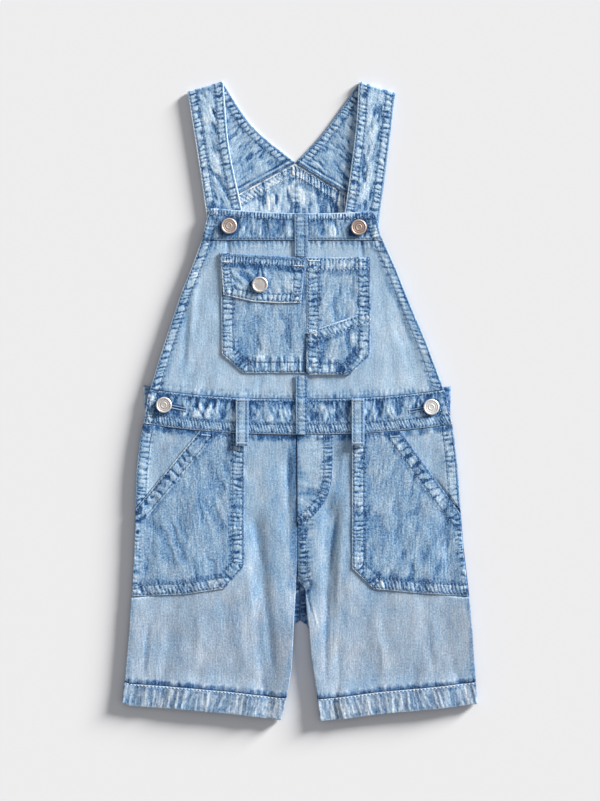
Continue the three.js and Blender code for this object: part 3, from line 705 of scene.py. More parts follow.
class Piece:
    """A cloth piece laid flat: its cut, what it lies on, its wall, and what its seams do to it."""

    def __init__(
        self, node, left, right, low, high, under, wall, fade=0.6, mottle=0.5, pitch=0.9, step=4, spread=EVEN
    ):
        self.node, self.under, self.wall, self.fade, self.mottle = node, under, wall, fade, mottle
        self.left, self.right, self.low, self.high = left, right, low, high
        self.pitch = pitch if isinstance(pitch, tuple) else (pitch, pitch)
        self.step, self.spread = step, spread
        self.effects, self.below, self.rows = [], [], []

    def places(self):
        """x and y of the grid. Each needs the other, so a few rounds settle them."""
        bottom, top = float(self.low(0.0)), float(self.high(0.0))
        heights = np.linspace(bottom, top, 9)
        width = float(np.max(self.right(heights) - self.left(heights)))
        u = shares(width, self.pitch[0], self.step)[None, :]
        v = shares(top - bottom, self.pitch[1], self.step, self.spread)[:, None]
        y = mix(bottom, top, v) + 0 * u
        for _ in range(14):
            x = mix(self.left(y), self.right(y), u)
            y = mix(self.low(x), self.high(x), v)
        return x, y

    def edge_distance(self, x, y):
        """Distance to the nearest edge: across it, from its slope there."""
        slope = lambda edge, at: (edge(at + 0.5) - edge(at - 0.5)) + 0 * at
        across = lambda gap, lean: gap / np.sqrt(1 + lean**2)
        return np.minimum.reduce([
            across(x - self.left(y), slope(self.left, y)),
            across(self.right(y) - x, slope(self.right, y)),
            across(y - self.low(x), slope(self.low, x)),
            across(self.high(x) - y, slope(self.high, x)),
        ])

    def wall_at(self, x, y):
        """Thickness of the cloth, which may vary over the piece."""
        return self.wall(x, y) if callable(self.wall) else self.wall + 0 * x

    def outer(self, x, y):
        """Height of the face that looks up, with all its relief, and its shade."""
        height, shade = total(self.effects, x, y)
        return self.under(x, y) + self.wall_at(x, y) + height, shade

    def make(self, material, **cloth):
        """Builds the shell, and hands it to the frame in place of its solid."""
        x, y = self.places()
        top, shade = self.outer(x, y)
        bottom, below = total(self.below, x, y)
        bottom = self.under(x, y) + bottom
        radius = 0.48 * self.wall_at(x, y)
        near = np.clip(1 - self.edge_distance(x, y) / np.minimum(radius, ROUND_WIDTH), 0, 1)
        top = top - radius * (1 - np.sqrt(1 - near**2))
        top = np.maximum(top, bottom + 0.5)
        points, quads, rim = closed_shell(
            np.stack([x, y, top], axis=2), np.stack([x, y, bottom], axis=2), self.step
        )
        kept = (slice(None, None, self.step), slice(None, None, self.step))
        distance = self.edge_distance(x, y)
        # Painted shade on edges that face the sun, on their round and on the slope beside them.
        sunny = np.clip((distance - self.edge_distance(x + SUNWARD[0], y + SUNWARD[1])) / 0.3, 0, 1)
        shade = shade - sunny * (SUNLIT_EDGE_PAINTED_SHADE["rim"] * near + SUNLIT_EDGE_PAINTED_SHADE["slope"] * np.exp(-((distance / 2.4) ** 2)))
        # Painted shade on the lower rim of every edge, darker where the edge faces the sun.
        rim_painted_shade = (0.3 + 0.3 * sunny) * (distance < 0.05)
        fade = np.concatenate([(self.fade + shade).ravel(), (self.fade - 0.08 - rim_painted_shade + below)[kept].ravel()])
        mottle = self.mottle + np.concatenate([np.abs(shade).ravel(), np.abs(below)[kept].ravel()])
        grey = 0.12 + 0.62 * smoothstep(-points[:, 1], 120, 185)
        values = [("fade", np.clip(fade, 0.02, 0.98)), ("mottle", mottle), ("grey", grey)]
        made = make_mesh(self.node, points, quads, rim, material, values, points[:, :2])
        finish_cloth(made, [self.node], **cloth)
        print(self.node, len(quads) * 2 + len(rim), "triangles")
        return made

    def edge(self, side, first, last, pitch=7.0):
        """Points along an edge: low and high run by x, left and right by y."""
        at = np.linspace(first, last, max(2, int(abs(last - first) / pitch) + 1))
        curve = getattr(self, side)(at) + 0 * at
        pair = (at, curve) if side in ("low", "high") else (curve, at)
        return np.stack(pair, axis=1)


SEWN = []


def finish_cloth(made, nodes, flat, rests_on, area=None):
    """Rides with the part and replaces its solid."""
    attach(made, "root")
    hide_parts(*nodes)
    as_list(rests_on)


def sew(piece, path, rows, kind=None, near=None, far=None, lean=0.0, seed=1, turned=False, pale=0.25):
    """Rows of stitches at distances from a line, the hollows they press, and the gathers between."""
    effects = piece.below if turned else piece.effects
    if kind:
        near = min(rows) if near is None else near
        far = max(rows) if far is None else far
        effects.append(gathers(path, near, far, kind, seed, lean))
    for distance in rows:
        effects.append(groove(path, distance))
        SEWN.append((piece, inset(path, distance), turned, pale))


STITCH = {"pitch": 3.0, "length": 2.1, "radius": 0.27, "sides": 6, "hole": 0.46}
print("a stitch is", STITCH["length"], "mm long, every", STITCH["pitch"], "mm")

# %% [markdown]
# ## Washed denim
#
# Denim is woven from indigo warp threads, dyed only on their outside, and a white weft. Washing
# with stones rubs the dye off whatever stands up. One finish serves every piece: the shade that
# each piece carries in its points, plus fine uprights from uneven yarn, a speckle from the white
# weft and large soft patches, looked up in a scale from deep indigo to white. The map "grain" holds
# each point's place along the cloth, so the yarns run the right way on every piece.


# %% Materials
def node(tree, kind, settings=None, links=None):
    """Adds a node. Settings are its properties or its inputs by name, links are inputs fed by sockets."""
    made = tree.nodes.new(kind)
    for key, value in (settings or {}).items():
        if key in made.inputs.keys() or isinstance(key, int):
            made.inputs[key].default_value = value
        else:
            setattr(made, key, value)
    for key, socket in (links or {}).items():
        tree.links.new(socket, made.inputs[key])
    return made


def new_material(name):
    """A material with its node tree and shader."""
    material = bpy.data.materials.new(name)
    material.use_nodes = True
    return material, material.node_tree, material.node_tree.nodes["Principled BSDF"]


def scaled(tree, vector, sizes, kind="ShaderNodeTexNoise", **settings):
    """A texture whose features are as large as sizes, in millimetres, across and along the cloth."""
    factors = tuple(1 / (s * MM) for s in sizes) + (1.0,)
    place = node(tree, "ShaderNodeVectorMath", {"operation": "MULTIPLY", 1: factors}, {0: vector})
    return node(tree, kind, {"Scale": 1.0, **settings}, {"Vector": place.outputs[0]})


def weigh(tree, start, parts):
    """start, a socket or a number, plus every part's (value - 0.5) times its weight."""
    for socket, weight in parts:
        settings, links = {"operation": "MULTIPLY_ADD", 1: weight}, {}
        shifted = node(tree, "ShaderNodeMath", {"operation": "SUBTRACT", 1: 0.5}, {0: socket})
        links[0] = shifted.outputs[0]
        if isinstance(start, float):
            settings[2] = start
        else:
            links[2] = start
        start = node(tree, "ShaderNodeMath", settings, links).outputs[0]
    return start


WASH = (
    (0.00, "#1b4273"), (0.20, "#3a6698"), (0.40, "#6c95c0"), (0.55, "#90afcd"),
    (0.70, "#aecae4"), (0.85, "#cbe2f6"), (1.00, "#f1f6fb"),
)
GREY_WASH = (
    (0.00, "#28476f"), (0.20, "#4a6a92"), (0.40, "#7790ae"), (0.55, "#96a9c0"),
    (0.70, "#b3c1d3"), (0.85, "#ced9e5"), (1.00, "#f3f5f7"),
)


def wash_scale(tree, value, stops):
    """A colour scale from deep indigo to white."""
    ramp = node(tree, "ShaderNodeValToRGB", links={"Fac": value})
    elements = ramp.color_ramp.elements
    while len(elements) < len(stops):
        elements.new(0.5)
    for element, (at, code) in zip(elements, stops):
        element.position = at
        element.color = srgb(code)
    return ramp.outputs["Color"]


def denim(name, streak, speckle, blotch):
    """Washed denim: weights of the uprights, the speckle and the large patches. The point value
    mottle says how strongly the small ones show, and grey how far the indigo has gone greyish."""
    material, tree, shader = new_material(name)
    grain = node(tree, "ShaderNodeUVMap", {"uv_map": "grain"}).outputs[0]
    fade = node(tree, "ShaderNodeAttribute", {"attribute_name": "fade"}).outputs["Fac"]
    mottle = node(tree, "ShaderNodeAttribute", {"attribute_name": "mottle"}).outputs["Fac"]
    streaks = scaled(tree, grain, (1.4, 11.0), Detail=3.0, Roughness=0.6)
    specks = scaled(tree, grain, (1.35, 1.7), Detail=2.0, Roughness=0.8)
    patches = scaled(tree, grain, (13.0, 24.0), Detail=3.0)
    small = weigh(tree, 0.0, [(streaks.outputs[0], streak), (specks.outputs[0], speckle)])
    small = node(
        tree, "ShaderNodeMath", {"operation": "MULTIPLY_ADD"}, {0: small, 1: mottle, 2: fade}
    ).outputs[0]
    value = weigh(tree, small, [(patches.outputs[0], blotch)])
    # Some patches lean to grey and some to a greener blue, as the indigo was rubbed or rinsed out.
    hues = scaled(tree, grain, (12.0, 24.0), Detail=3.0)
    grey = node(tree, "ShaderNodeAttribute", {"attribute_name": "grey"}).outputs["Fac"]
    greyed = weigh(tree, grey, [(hues.outputs[0], 2.2)])
    clamped = node(tree, "ShaderNodeClamp", links={"Value": greyed})
    cloth = node(
        tree,
        "ShaderNodeMix",
        {"data_type": "RGBA"},
        {0: clamped.outputs[0], 6: wash_scale(tree, value, WASH), 7: wash_scale(tree, value, GREY_WASH)},
    )
    # The twill's ribs: a diagonal wave, drawn at 1 mm where real ribs are 0.6 mm apart.
    turned = node(
        tree, "ShaderNodeVectorRotate", {"rotation_type": "Z_AXIS", "Angle": math.radians(63)}, {"Vector": grain}
    )
    ribs = scaled(tree, turned.outputs[0], (1.0, 1.0), "ShaderNodeTexWave", Distortion=1.2, Detail=1.0)
    relief = weigh(tree, streaks.outputs[0], [(specks.outputs[0], 1.0), (ribs.outputs[1], 0.3)])
    bump = node(tree, "ShaderNodeBump", {"Strength": 0.6, "Distance": 0.0003}, {"Height": relief})
    tree.links.new(cloth.outputs[2], shader.inputs["Base Color"])
    tree.links.new(bump.outputs[0], shader.inputs["Normal"])
    shader.inputs["Roughness"].default_value = 0.92
    shader.inputs["Specular IOR Level"].default_value = 0.2
    shader.inputs["Sheen Weight"].default_value = 0.12
    shader.inputs["Sheen Roughness"].default_value = 0.5
    return material


def thread_material():
    """Cotton-covered polyester thread by its own shade: tonal grey-blue on the rows and paler on bar
    tacks. The dark end of its scale colours the beads in the needle holes, which are painted shade."""
    material, tree, shader = new_material("sewing_thread")
    pale = node(tree, "ShaderNodeAttribute", {"attribute_name": "fade"}).outputs["Fac"]
    tint = wash_scale(tree, pale, ((0.0, "#1c3556"), (0.4, "#86a3c3"), (0.6, "#a9bfd6"), (1.0, "#f0ebe4")))
    tree.links.new(tint, shader.inputs["Base Color"])
    shader.inputs["Roughness"].default_value = 0.7
    return material


def button_material():
    """Worn copper-nickel plate on pressed brass: the washing dulled it, and copper shows in the
    hollows, which the point value fade marks."""
    material, tree, shader = new_material("worn_button_metal")
    place = node(tree, "ShaderNodeTexCoord").outputs["Object"]
    dull = scaled(tree, place, (1.3, 1.3), Detail=4.0)
    worn = node(tree, "ShaderNodeAttribute", {"attribute_name": "fade"}).outputs["Fac"]
    value = weigh(tree, worn, [(dull.outputs[0], 0.7)])
    tint = wash_scale(tree, value, ((0.0, "#8c6f63"), (0.35, "#bfa79d"), (0.65, "#dad3cf"), (1.0, "#fdfcfb")))
    rough = node(tree, "ShaderNodeMapRange", {"To Min": 0.34, "To Max": 0.6}, {"Value": dull.outputs[0]})
    tree.links.new(tint, shader.inputs["Base Color"])
    tree.links.new(rough.outputs[0], shader.inputs["Roughness"])
    shader.inputs["Metallic"].default_value = 0.75
    return material


def floor_material():
    """A pale grey paper ground."""
    material, _, shader = new_material("ground_paper")
    shader.inputs["Base Color"].default_value = srgb("#e6e7eb")
    shader.inputs["Roughness"].default_value = 0.95
    shader.inputs["Specular IOR Level"].default_value = 0.1
    return material


DENIM = denim("washed_denim", streak=0.65, speckle=1.15, blotch=0.34)
DENIM_BACK = denim("washed_denim_back", streak=0.60, speckle=1.05, blotch=0.28)
THREAD = thread_material()
BUTTON = button_material()
print("materials:", ", ".join(m.name for m in bpy.data.materials))

# %% [markdown]
# ## Cut and sewing of the front legs
#
# Each leg is cut in one from the waist to the hem. Rows run down the sides as far as the pocket
# facing goes, round the hem, along the centre seam and round the mock fly on the right leg. Where
# a pocket lies on the leg, the leg itself is smooth, so the layers don't cross.


# %% Legs and hems
def smooth_under(piece, cover, margin=1.5):
    """Takes a piece's relief away where another lies on it, and where it can't be seen."""
    inside = piece.effects
    kept = list(inside)
    inside.clear()

    def effect(x, y):
        height, shade = total(kept, x, y)
        keep = 1 - smoothstep(cover(x, y), 0, margin)
        return height * keep, shade

    inside.append(effect)


HEM_PLIES = 3.0
SWELL = {"side": 6.0, "inseam": 6.8, "legs": 5.2, "bib": 5.8, "full": 2, "level": 24, "none": 34}


def swollen(wall, cover=None, under=None):
    """A wall that is thicker towards the side seams, where the seam's allowance is folded in behind
    it. A pocket that is caught in the seam lies on the plain wall, so none is added under it."""

    def at(x, y):
        plain = wall(x, y) if callable(wall) else wall + 0 * x
        to_side = np.minimum(x - x_at(LEFT_SIDE, y), x_at(RIGHT_SIDE, y) - x)
        inseam = np.where(x < 0, x_at(LEFT_INSEAM, y) - x, x - x_at(RIGHT_INSEAM, y))
        split = smoothstep(-y, 146, 190)
        inner = mix(SWELL["legs"], SWELL["bib"], smoothstep(y, -60, -20))
        missing = 0 * x
        for edge, reach, share in (("side", to_side, 1), ("inseam", inseam, split)):
            target = mix(SWELL[edge], inner, smoothstep(reach, SWELL["full"], SWELL["level"]))
            gain = np.maximum(0, target - (under or front_lie)(x, y) - plain)
            gain = gain * share * (1 - smoothstep(reach, SWELL["level"], SWELL["none"]))
            missing = np.maximum(missing, gain)
        if cover is not None:
            missing = missing * (1 - smoothstep(cover(x, y), -1.4, 0))
        return plain + missing

    return at


def plies_at_hem(wall, hem):
    """A leg's wall, thicker just above the hem, so that the row lies in a shallow dip, not on a step."""

    def at(x, y):
        plain = wall(x, y) if callable(wall) else wall + 0 * x
        return plain + 0.9 * (1 - smoothstep(y - hem_top(hem)(x), 0.2, 14))

    return at


def hem_top(hem):
    """A hem's upper edge, where its row of stitches is."""
    return lambda x: y_at(hem, x) + HEM_HEIGHT


def fly_wall(x, y):
    """The right leg is double over the mock fly."""
    inside = (x_at(FLY_WIDTH, y) - x) * (y > FLY_WIDTH["y"][0])
    return CLOTH + 0.5 * smoothstep(inside, 0, 0.8)


def of_table(outline):
    """x of an outline as a function of the height."""
    return lambda y: x_at(outline, y)


def floor_of(outline):
    """y of an outline as a function of the place across."""
    return lambda x: y_at(outline, x)


def level(value):
    """A straight edge."""
    return lambda at: value + 0 * at


def drape(x, y):
    """The small unevenness of cloth that lies loosely: broad random hollows."""
    return 0.55 * (noise(x / 21, y / 30, 3) - 0.5) + 0.30 * (noise(x / 8, y / 13, 8) - 0.5)


def front_lie(x, y):
    """The front's underside with the small unevenness, which every layer on it shares."""
    to_side = np.minimum(x - x_at(LEFT_SIDE, y), x_at(RIGHT_SIDE, y) - x)
    loose = smoothstep(to_side, 2, 16) * (1 - smoothstep(y, *PASSING["straps"]))
    return front_under(x, y) + drape(x, y) * loose * (1 - smoothstep(y, -62, -34) * smoothstep(-y, -4, 26))


LIE = {
    "front": front_lie,
    "panel": lambda x, y: front_lie(x, y) + CLOTH + CLOSE,
    "pocket": lambda x, y: front_lie(x, y) + CLOTH + THIN + 2 * CLOSE,
    "band": lambda x, y: front_lie(x, y) + DOUBLE + CLOSE,
    "floor": on_floor,
}

pocket_hand_left = Piece(
    "hand_pocket_left", of_table(HAND_POCKET_LEFT["left"]), of_table(HAND_POCKET_LEFT["right"]),
    floor_of(HAND_POCKET_LEFT["low"]), lambda x: waist_low(x) - SEAM_GAP, LIE["panel"], swollen(THIN, under=LIE["panel"]), 0.495, 0.95,
    pitch=0.65,
)
pocket_hand_right = Piece(
    "hand_pocket_right", of_table(HAND_POCKET_RIGHT["left"]), of_table(HAND_POCKET_RIGHT["right"]),
    floor_of(HAND_POCKET_RIGHT["low"]), lambda x: waist_low(x) - SEAM_GAP, LIE["panel"], swollen(THIN, under=LIE["panel"]), 0.495, 0.95,
    pitch=0.65,
)
leg_left = Piece(
    "front_leg_left", of_table(LEFT_SIDE), of_table(LEFT_INSEAM),
    lambda x: hem_top(LEFT_HEM)(x) + SEAM_GAP, lambda x: waist_low(x) - SEAM_GAP, LIE["front"],
    swollen(plies_at_hem(CLOTH, LEFT_HEM), pocket_hand_left.edge_distance), 0.595, 0.56, pitch=1.0,
)
leg_right = Piece(
    "front_leg_right", of_table(RIGHT_INSEAM), of_table(RIGHT_SIDE),
    lambda x: hem_top(RIGHT_HEM)(x) + SEAM_GAP, lambda x: waist_low(x) - SEAM_GAP, LIE["front"],
    swollen(plies_at_hem(fly_wall, RIGHT_HEM), pocket_hand_right.edge_distance), 0.59, 0.56, pitch=1.0,
)
hem_left = Piece(
    "front_hem_left", of_table(LEFT_SIDE), of_table(LEFT_INSEAM), floor_of(LEFT_HEM), hem_top(LEFT_HEM),
    LIE["front"], swollen(HEM_PLIES), 0.60, 0.6, pitch=(0.65, 0.9),
)
hem_right = Piece(
    "front_hem_right", of_table(RIGHT_INSEAM), of_table(RIGHT_SIDE), floor_of(RIGHT_HEM), hem_top(RIGHT_HEM),
    LIE["front"], swollen(HEM_PLIES), 0.60, 0.6, pitch=(0.65, 0.9),
)


def on_fly(x, y):
    """1 on the mock fly, inside its curved rows."""
    return smoothstep(x_at(FLY_WIDTH, y) - x, 5, 10) * smoothstep(y, -100, -92)


def sew_legs():
    """Rows, gathers, ink and creases of the two legs and their hems."""
    sides = ((leg_left, hem_left, -1), (leg_right, hem_right, 1))
    for leg, hem, hand in sides:
        outer = leg.edge("left", -34, -230) if hand < 0 else leg.edge("right", -230, -34)
        inner = leg.edge("right", -238, -150) if hand < 0 else leg.edge("left", -150, -240)
        facing = leg.edge("left", -24, -100) if hand < 0 else leg.edge("right", -100, -24)
        sew(leg, facing, (1.6, 8.8), "blocks", seed=21 + hand)
        leg.effects.append(rub(inset(facing, 9.6), 0.8, 0.22))
        leg.effects.append(gathers(outer, 0.2, 1.5, "loose", 24 + hand, amount=0.4))
        leg.effects.append(ink(outer, 0.0, 6.0, 0.10, 30 + hand))
        leg.effects.append(rub(outer, 1.2, 0.18))
        leg.effects.append(rub(inner, 1.0, 0.12))
        above = leg.edge("low", *((-143, -10) if hand < 0 else (12, 143)))
        leg.effects.append(strokes(above, 0.0, 4.0, 2.6, 12, 0.25, 0.16, 33 + hand))
        leg.effects.append(ink(above, 0.1, 4.4, 0.44, 36 + hand, ragged=4))
        below_waist = leg.edge("high", *((-3, -129) if hand < 0 else (127, -2)))
        leg.effects.append(strokes(below_waist, 0.2, 5.0, 3.0, 10, 0.25, 0.18, 39 + hand))
        leg.effects.append(ink(below_waist, 0.0, 6.0, 0.31 - 0.06 * hand, 42 + hand, ragged=7))
        bottom = hem.edge("low", *((-145, -15.6) if hand < 0 else (17, 145)))
        top = hem.edge("high", *((-12, -142) if hand < 0 else (143, 13.5)))
        hem.effects.append(strokes(top, 1.6, 17.0, 2.6, 18, 0.20, 0.12, 45 + hand, lean=0.1 * hand))
        hem.effects.append(gathers(top, 2.2, 17.0, "pleats", 47 + hand, lean=0.12 * hand))
        hem.effects.append(strokes(bottom, 0.2, 4.0, 2.0, 7, 0.12, 0.10, 48 + hand))
        hem.effects.append(rub(bottom, 1.1, 0.20))
        hem.effects.append(rub(top, 2.2, 0.26))
        hem.effects.append(ink(top, 1.9, 4.6, 0.16, 50 + hand, ragged=3))
        sew(hem, top, (1.0,), pale=0.85)
    centre = leg_right.edge("left", -92, -150)
    sew(leg_right, centre, (1.2, 7.2), "knots", seed=54)
    leg_right.effects.append(ink(centre, 0.4, 9.0, 0.24, 67, ragged=8))
    upper_centre = leg_right.edge("left", -30, -92)
    leg_right.effects.append(gathers(upper_centre, 0.2, 2.0, "loose", 55, amount=0.5))
    left_centre = leg_left.edge("right", -150, -30)
    leg_left.effects.append(gathers(left_centre, 0.3, 2.0, "loose", 56, amount=0.4))
    leg_left.effects.append(ink(left_centre, 0.0, 9.0, 0.20, 57, ragged=16))
    leg_right.effects.append(ink(upper_centre, 0.0, 4.0, 0.18, 58))
    fly = line(
        (-1, -102), (3.5, -99.6), (8, -97), (12.8, -93), (17, -88), (21, -82.4), (24, -76), (26, -69), (27, -62),
        (27.4, -45), (27.5, -27),
    )
    sew(leg_right, fly, (0.7, 7.2), "knots", seed=59)
    leg_right.effects.append(ink(fly, -8, -1.5, 0.14, 60, ragged=14))
    leg_right.effects.append(ink(fly, 0.6, 8.0, 0.20, 63, ragged=6))
    leg_right.effects.append(crumple(-6, 5.0, 17, 0.26, 0.26, 68, where=on_fly))
    # Painted light: the right leg's outer part below the waist is made paler.
    leg_right.effects.append(tone(0.06, lambda x, y: smoothstep(x, 70, 90) * smoothstep(y, -110, -85)))


sew_legs()
CREASES = table(
    "x0 y0 x1 y1 width rise tint",
    (31, -84, 23, -150, 2.6, -0.5, -0.17),
    (23, -138, 21, -238, 3.0, -0.6, -0.19),
    (34, -92, 28, -238, 4.2, 0.45, 0.10),
    (-38, -92, -30, -140, 5.0, -0.5, -0.11),
    (-31, -130, -20, -236, 5.5, -0.6, -0.13),
    (-44, -110, -33, -232, 5.0, 0.25, 0.03),
    (-9, -34, -9, -100, 2.6, -0.4, -0.12),
    (4.5, -149, 11, -176, 1.6, -0.5, -0.30),
    (6.0, -154, 16.4, -188, 0.8, 0.3, 0.30),
    (-123, -178, -128, -228, 3.0, -0.5, -0.14),
    (62, -172, 70, -225, 5.0, 0.35, 0.06),
    (-80, -170, -86, -228, 5.0, 0.35, 0.05),
    (104, -176, 110, -228, 4.5, -0.35, -0.05),
)
leg_left.effects.append(creases(CREASES))
leg_right.effects.append(creases(CREASES))
leg_left.effects.append(crumple(93, 9, 60, 0.07, 0.05, 61))
leg_right.effects.append(crumple(87, 9, 60, 0.07, 0.05, 62))
smooth_under(leg_left, pocket_hand_left.edge_distance)
smooth_under(leg_right, pocket_hand_right.edge_distance)

# %% [markdown]
# ## Hand pockets
#
# Two large patch pockets with slanted openings. The opening is a wide hem between two rows, and
# it draws up into large pale patches. The other sides are turned under and sewn with two rows
# 9 mm apart.


# %% Hand pockets
def sew_hand_pockets():
    """Rows and gathers of both hand pockets, mirrored by the direction of their edges."""
    openings = (line((-82.4, -25.4), (-134, -88)), line((131.7, -92), (82.4, -25.4)))
    inners = (
        line((-61.1, -153.4), (-45.1, -135.5), (-45.1, -30)),
        line((42.9, -30), (42.9, -136.8), (60.8, -153.8)),
    )
    lows = (
        line((-137.2, -160), (-93, -158.1), (-61.1, -153.4)),
        line((60.8, -153.8), (99, -157.4), (138.4, -159.7)),
    )
    outers = (line((-134, -88), (-137.2, -160)), line((138.4, -160), (133.6, -117), (131.7, -92)))
    for k, pocket in enumerate((pocket_hand_left, pocket_hand_right)):
        sew(pocket, openings[k], (1.4, 10.4), "patches", seed=71 + k)
        pocket.effects.append(ink(openings[k], -1.0, 10.0, 0.12, 92 + k, ragged=12))
        sew(pocket, inners[k], (1.4, 9.6), "blocks", seed=73 + k)
        sew(pocket, lows[k], (1.4, 8.8), "pucker", seed=75 + k, lean=0.35)
        pocket.effects.append(gathers(outers[k], 0.3, 4.0, "blocks", 77 + k))
        pocket.effects.append(rub(openings[k], 1.5, 0.40))
        pocket.effects.append(rub(inset(openings[k], 11.2), 0.9, 0.30))
        pocket.effects.append(rub(inners[k], 1.0, 0.30))
        pocket.effects.append(rub(lows[k], 1.0, 0.26))
        pocket.effects.append(rub(outers[k], 1.2, 0.26))
        pocket.effects.append(ink(openings[k], 11.0, 16.0, 0.16, 79 + k))
        pocket.effects.append(ink(inners[k], 10.2, 14.0, 0.14, 81 + k))
        pocket.effects.append(ink(lows[k], 9.6, 14.0, 0.18, 83 + k))
        below_waist = pocket.edge("high", *((-46, -80) if k == 0 else (82, 44)))
        pocket.effects.append(gathers(below_waist, 0.3, 4.5, "loose", 85 + k))
        pocket.effects.append(ink(below_waist, 0.0, 5.0, 0.24, 87 + k))
        pocket.effects.append(crumple(76 if k else 104, 4.4, 15, 0.18, 0.12 + 0.04 * k, 89 + k))


sew_hand_pockets()

# %% [markdown]
# ## Waistband, belt loops and the back's waistband
#
# The waistband is a double band. A row along its lower seam and another 8 mm above it draw the cloth
# up into close slanting ridges. Above them the band only wrinkles. The back's waistband shows
# beside it at both ends, where the placket opens.

# %% Waistbands and loops
waistband = Piece(
    "front_waistband", of_table(LEFT_SIDE), of_table(RIGHT_SIDE), waist_low, waist_top, LIE["front"],
    swollen(DOUBLE), 0.51, 0.8, pitch=(0.6, 0.9),
)
back_waistband = Piece(
    "back_waistband", of_table(BACK_WAIST["left"]), of_table(BACK_WAIST["right"]), waist_low,
    lambda x: waist_top(x) + BACK_WAIST["extra"], LIE["floor"], DOUBLE, 0.46, 0.8, pitch=1.2, step=2,
)
LOOP = {"width": 10.4, "top": 2.5, "low": -36.6, "lift": 1.2, "full": -28.6, "none": -17.5, "rise": 0.5}


def loop_under(x, y):
    """A loop lies on the waistband, and its lower end on the corner of a pocket."""
    climb = LOOP["lift"] * (1 - smoothstep(y, LOOP["full"], LOOP["none"]))
    return LIE["band"](x, y) + LOOP["rise"] + climb


def loop(node_name, x):
    """A belt loop about a middle line."""
    half = LOOP["width"] / 2
    return Piece(
        node_name, level(x - half), level(x + half), level(LOOP["low"]), level(LOOP["top"]), loop_under,
    LOOP_WALL, 0.60, 0.5, pitch=0.6,
    )


loops = [loop("belt_loop_left", -46.9), loop("belt_loop_right", 47.8)]


def waist_upper(x, y):
    """1 on the waistband above its lower pair of rows."""
    above = y - waist_low(x)
    return smoothstep(above, 9, 12) * (1 - smoothstep(above, 25.5, 27))


def sew_waist():
    """Rows and gathers of the waistband, its loops and the back's waistband."""
    low = waistband.edge("low", -130, 127)
    top = waistband.edge("high", 122, -126)
    sew(waistband, low, (1.4, 8.4), "fine", seed=91, lean=0.35)
    sew(waistband, top, (1.5,))
    waistband.effects.append(crumple(82, 3.4, 9, 0.24, 0.30, 93, where=waist_upper))
    waistband.effects.append(crumple(112, 1.9, 6, 0.13, 0.22, 97, where=waist_upper))
    waistband.effects.append(strokes(top, 1.8, 18.0, 2.4, 14, 0.2, 0.12, 96, lean=-0.2))
    waistband.effects.append(gathers(top, 0.2, 2.2, "fine", 94, amount=0.6))
    waistband.effects.append(ink(top, 1.0, 7.0, 0.20, 95))
    waistband.effects.append(rub(low, 1.1, 0.20))
    waistband.effects.append(rub(top, 1.0, 0.22))
    for k, side in enumerate((waistband.edge("left", 5, -22), waistband.edge("right", -22, 5))):
        sew(waistband, side, (1.4, 7.2), "loose", seed=162 + k)
        waistband.effects.append(rub(side, 1.1, 0.30))
        waistband.effects.append(rub(side, 9.4, (0.34, 0.70)[k]))
        waistband.effects.append(ink(side, 7.8, 10.4, 0.20, 164 + k, ragged=5))
    for k, side in enumerate((back_waistband.edge("left", 12, -10), back_waistband.edge("right", -10, 12))):
        back_waistband.effects.append(gathers(side, 0.6, 5.0, "blocks", 166 + k))
        back_waistband.effects.append(rub(side, 1.6, 0.36))
    for k, piece in enumerate(loops):
        x = (-46.9, 47.8)[k]
        half = LOOP["width"] / 2
        left = line((x - half, LOOP["top"]), (x - half, LOOP["low"]))
        sew(piece, left, (2.0, LOOP["width"] - 2.0))
        piece.effects.append(gathers(left, 2.0, 8.4, "loose", 97 + k, amount=0.5))
        right = line((x + half, LOOP["low"]), (x + half, LOOP["top"]))
        piece.effects.append(rub(left, 1.0, 0.22))
        piece.effects.append(rub(right, 1.0, 0.22))


sew_waist()

# %% [markdown]
# ## Bib, its band, centre strips and pockets
#
# The bib narrows towards the straps. Its sides are hemmed with two rows, and its top has a band of
# doubled cloth. A strip covers the centre seam. The pocket in the middle is divided: the left half
# has a buttoned flap, and the right half a smaller pocket with a slanting opening on it.

# %% Bib
bib = Piece(
    "bib_panel", of_table(LEFT_SIDE), of_table(RIGHT_SIDE), lambda x: waist_top(x) + SEAM_GAP,
    level(BIB_BAND["seam"] - SEAM_GAP), LIE["front"], swollen(CLOTH), 0.66, 0.45,
)
band = Piece(
    "bib_top_band", of_table(LEFT_SIDE), of_table(RIGHT_SIDE), level(BIB_BAND["seam"]), bib_top,
    LIE["front"], swollen(DOUBLE), 0.55, 0.7, pitch=0.62,
)
STRIP_LINE = {"left": ((-27, -2.9), (155, -4.3)), "right": ((-27, 6.2), (155, 7))}
strip_left = table("y x", *STRIP_LINE["left"])
strip_right = table("y x", *STRIP_LINE["right"])


def strip_under(x, y):
    """The strip lies on the bib, and on the waistband's ridges below it."""
    return LIE["band"](x, y) + LOOP["rise"] * (1 - smoothstep(y, 0, 3))


strip_upper = Piece(
    "centre_strip_upper", of_table(strip_left), of_table(strip_right),
    lambda x: y_at(BIB_POCKET["top"], x) + 2 * SEAM_GAP, lambda x: bib_top(x) - SEAM_GAP,
    strip_under, STRIP_WALL, 0.55, 0.6, pitch=0.6,
)
strip_lower = Piece(
    "centre_strip_lower", of_table(strip_left), of_table(strip_right), waist_low,
    level(BIB_POCKET["low_right"] - 2 * SEAM_GAP), strip_under, STRIP_WALL, 0.55, 0.6, pitch=0.6,
)
pocket_left = Piece(
    "bib_pocket_left", of_table(BIB_POCKET["left"]), level(BIB_POCKET["divide"] - 0.15),
    level(BIB_POCKET["low_left"]), floor_of(BIB_POCKET["top"]), LIE["panel"], THIN, 0.53, 0.9, pitch=0.62,
)
pocket_right = Piece(
    "bib_pocket_right", level(BIB_POCKET["divide"] + 0.15), of_table(BIB_POCKET["right"]),
    level(BIB_POCKET["low_right"]), floor_of(BIB_POCKET["top"]), LIE["panel"], THIN, 0.56, 0.9, pitch=0.62,
)
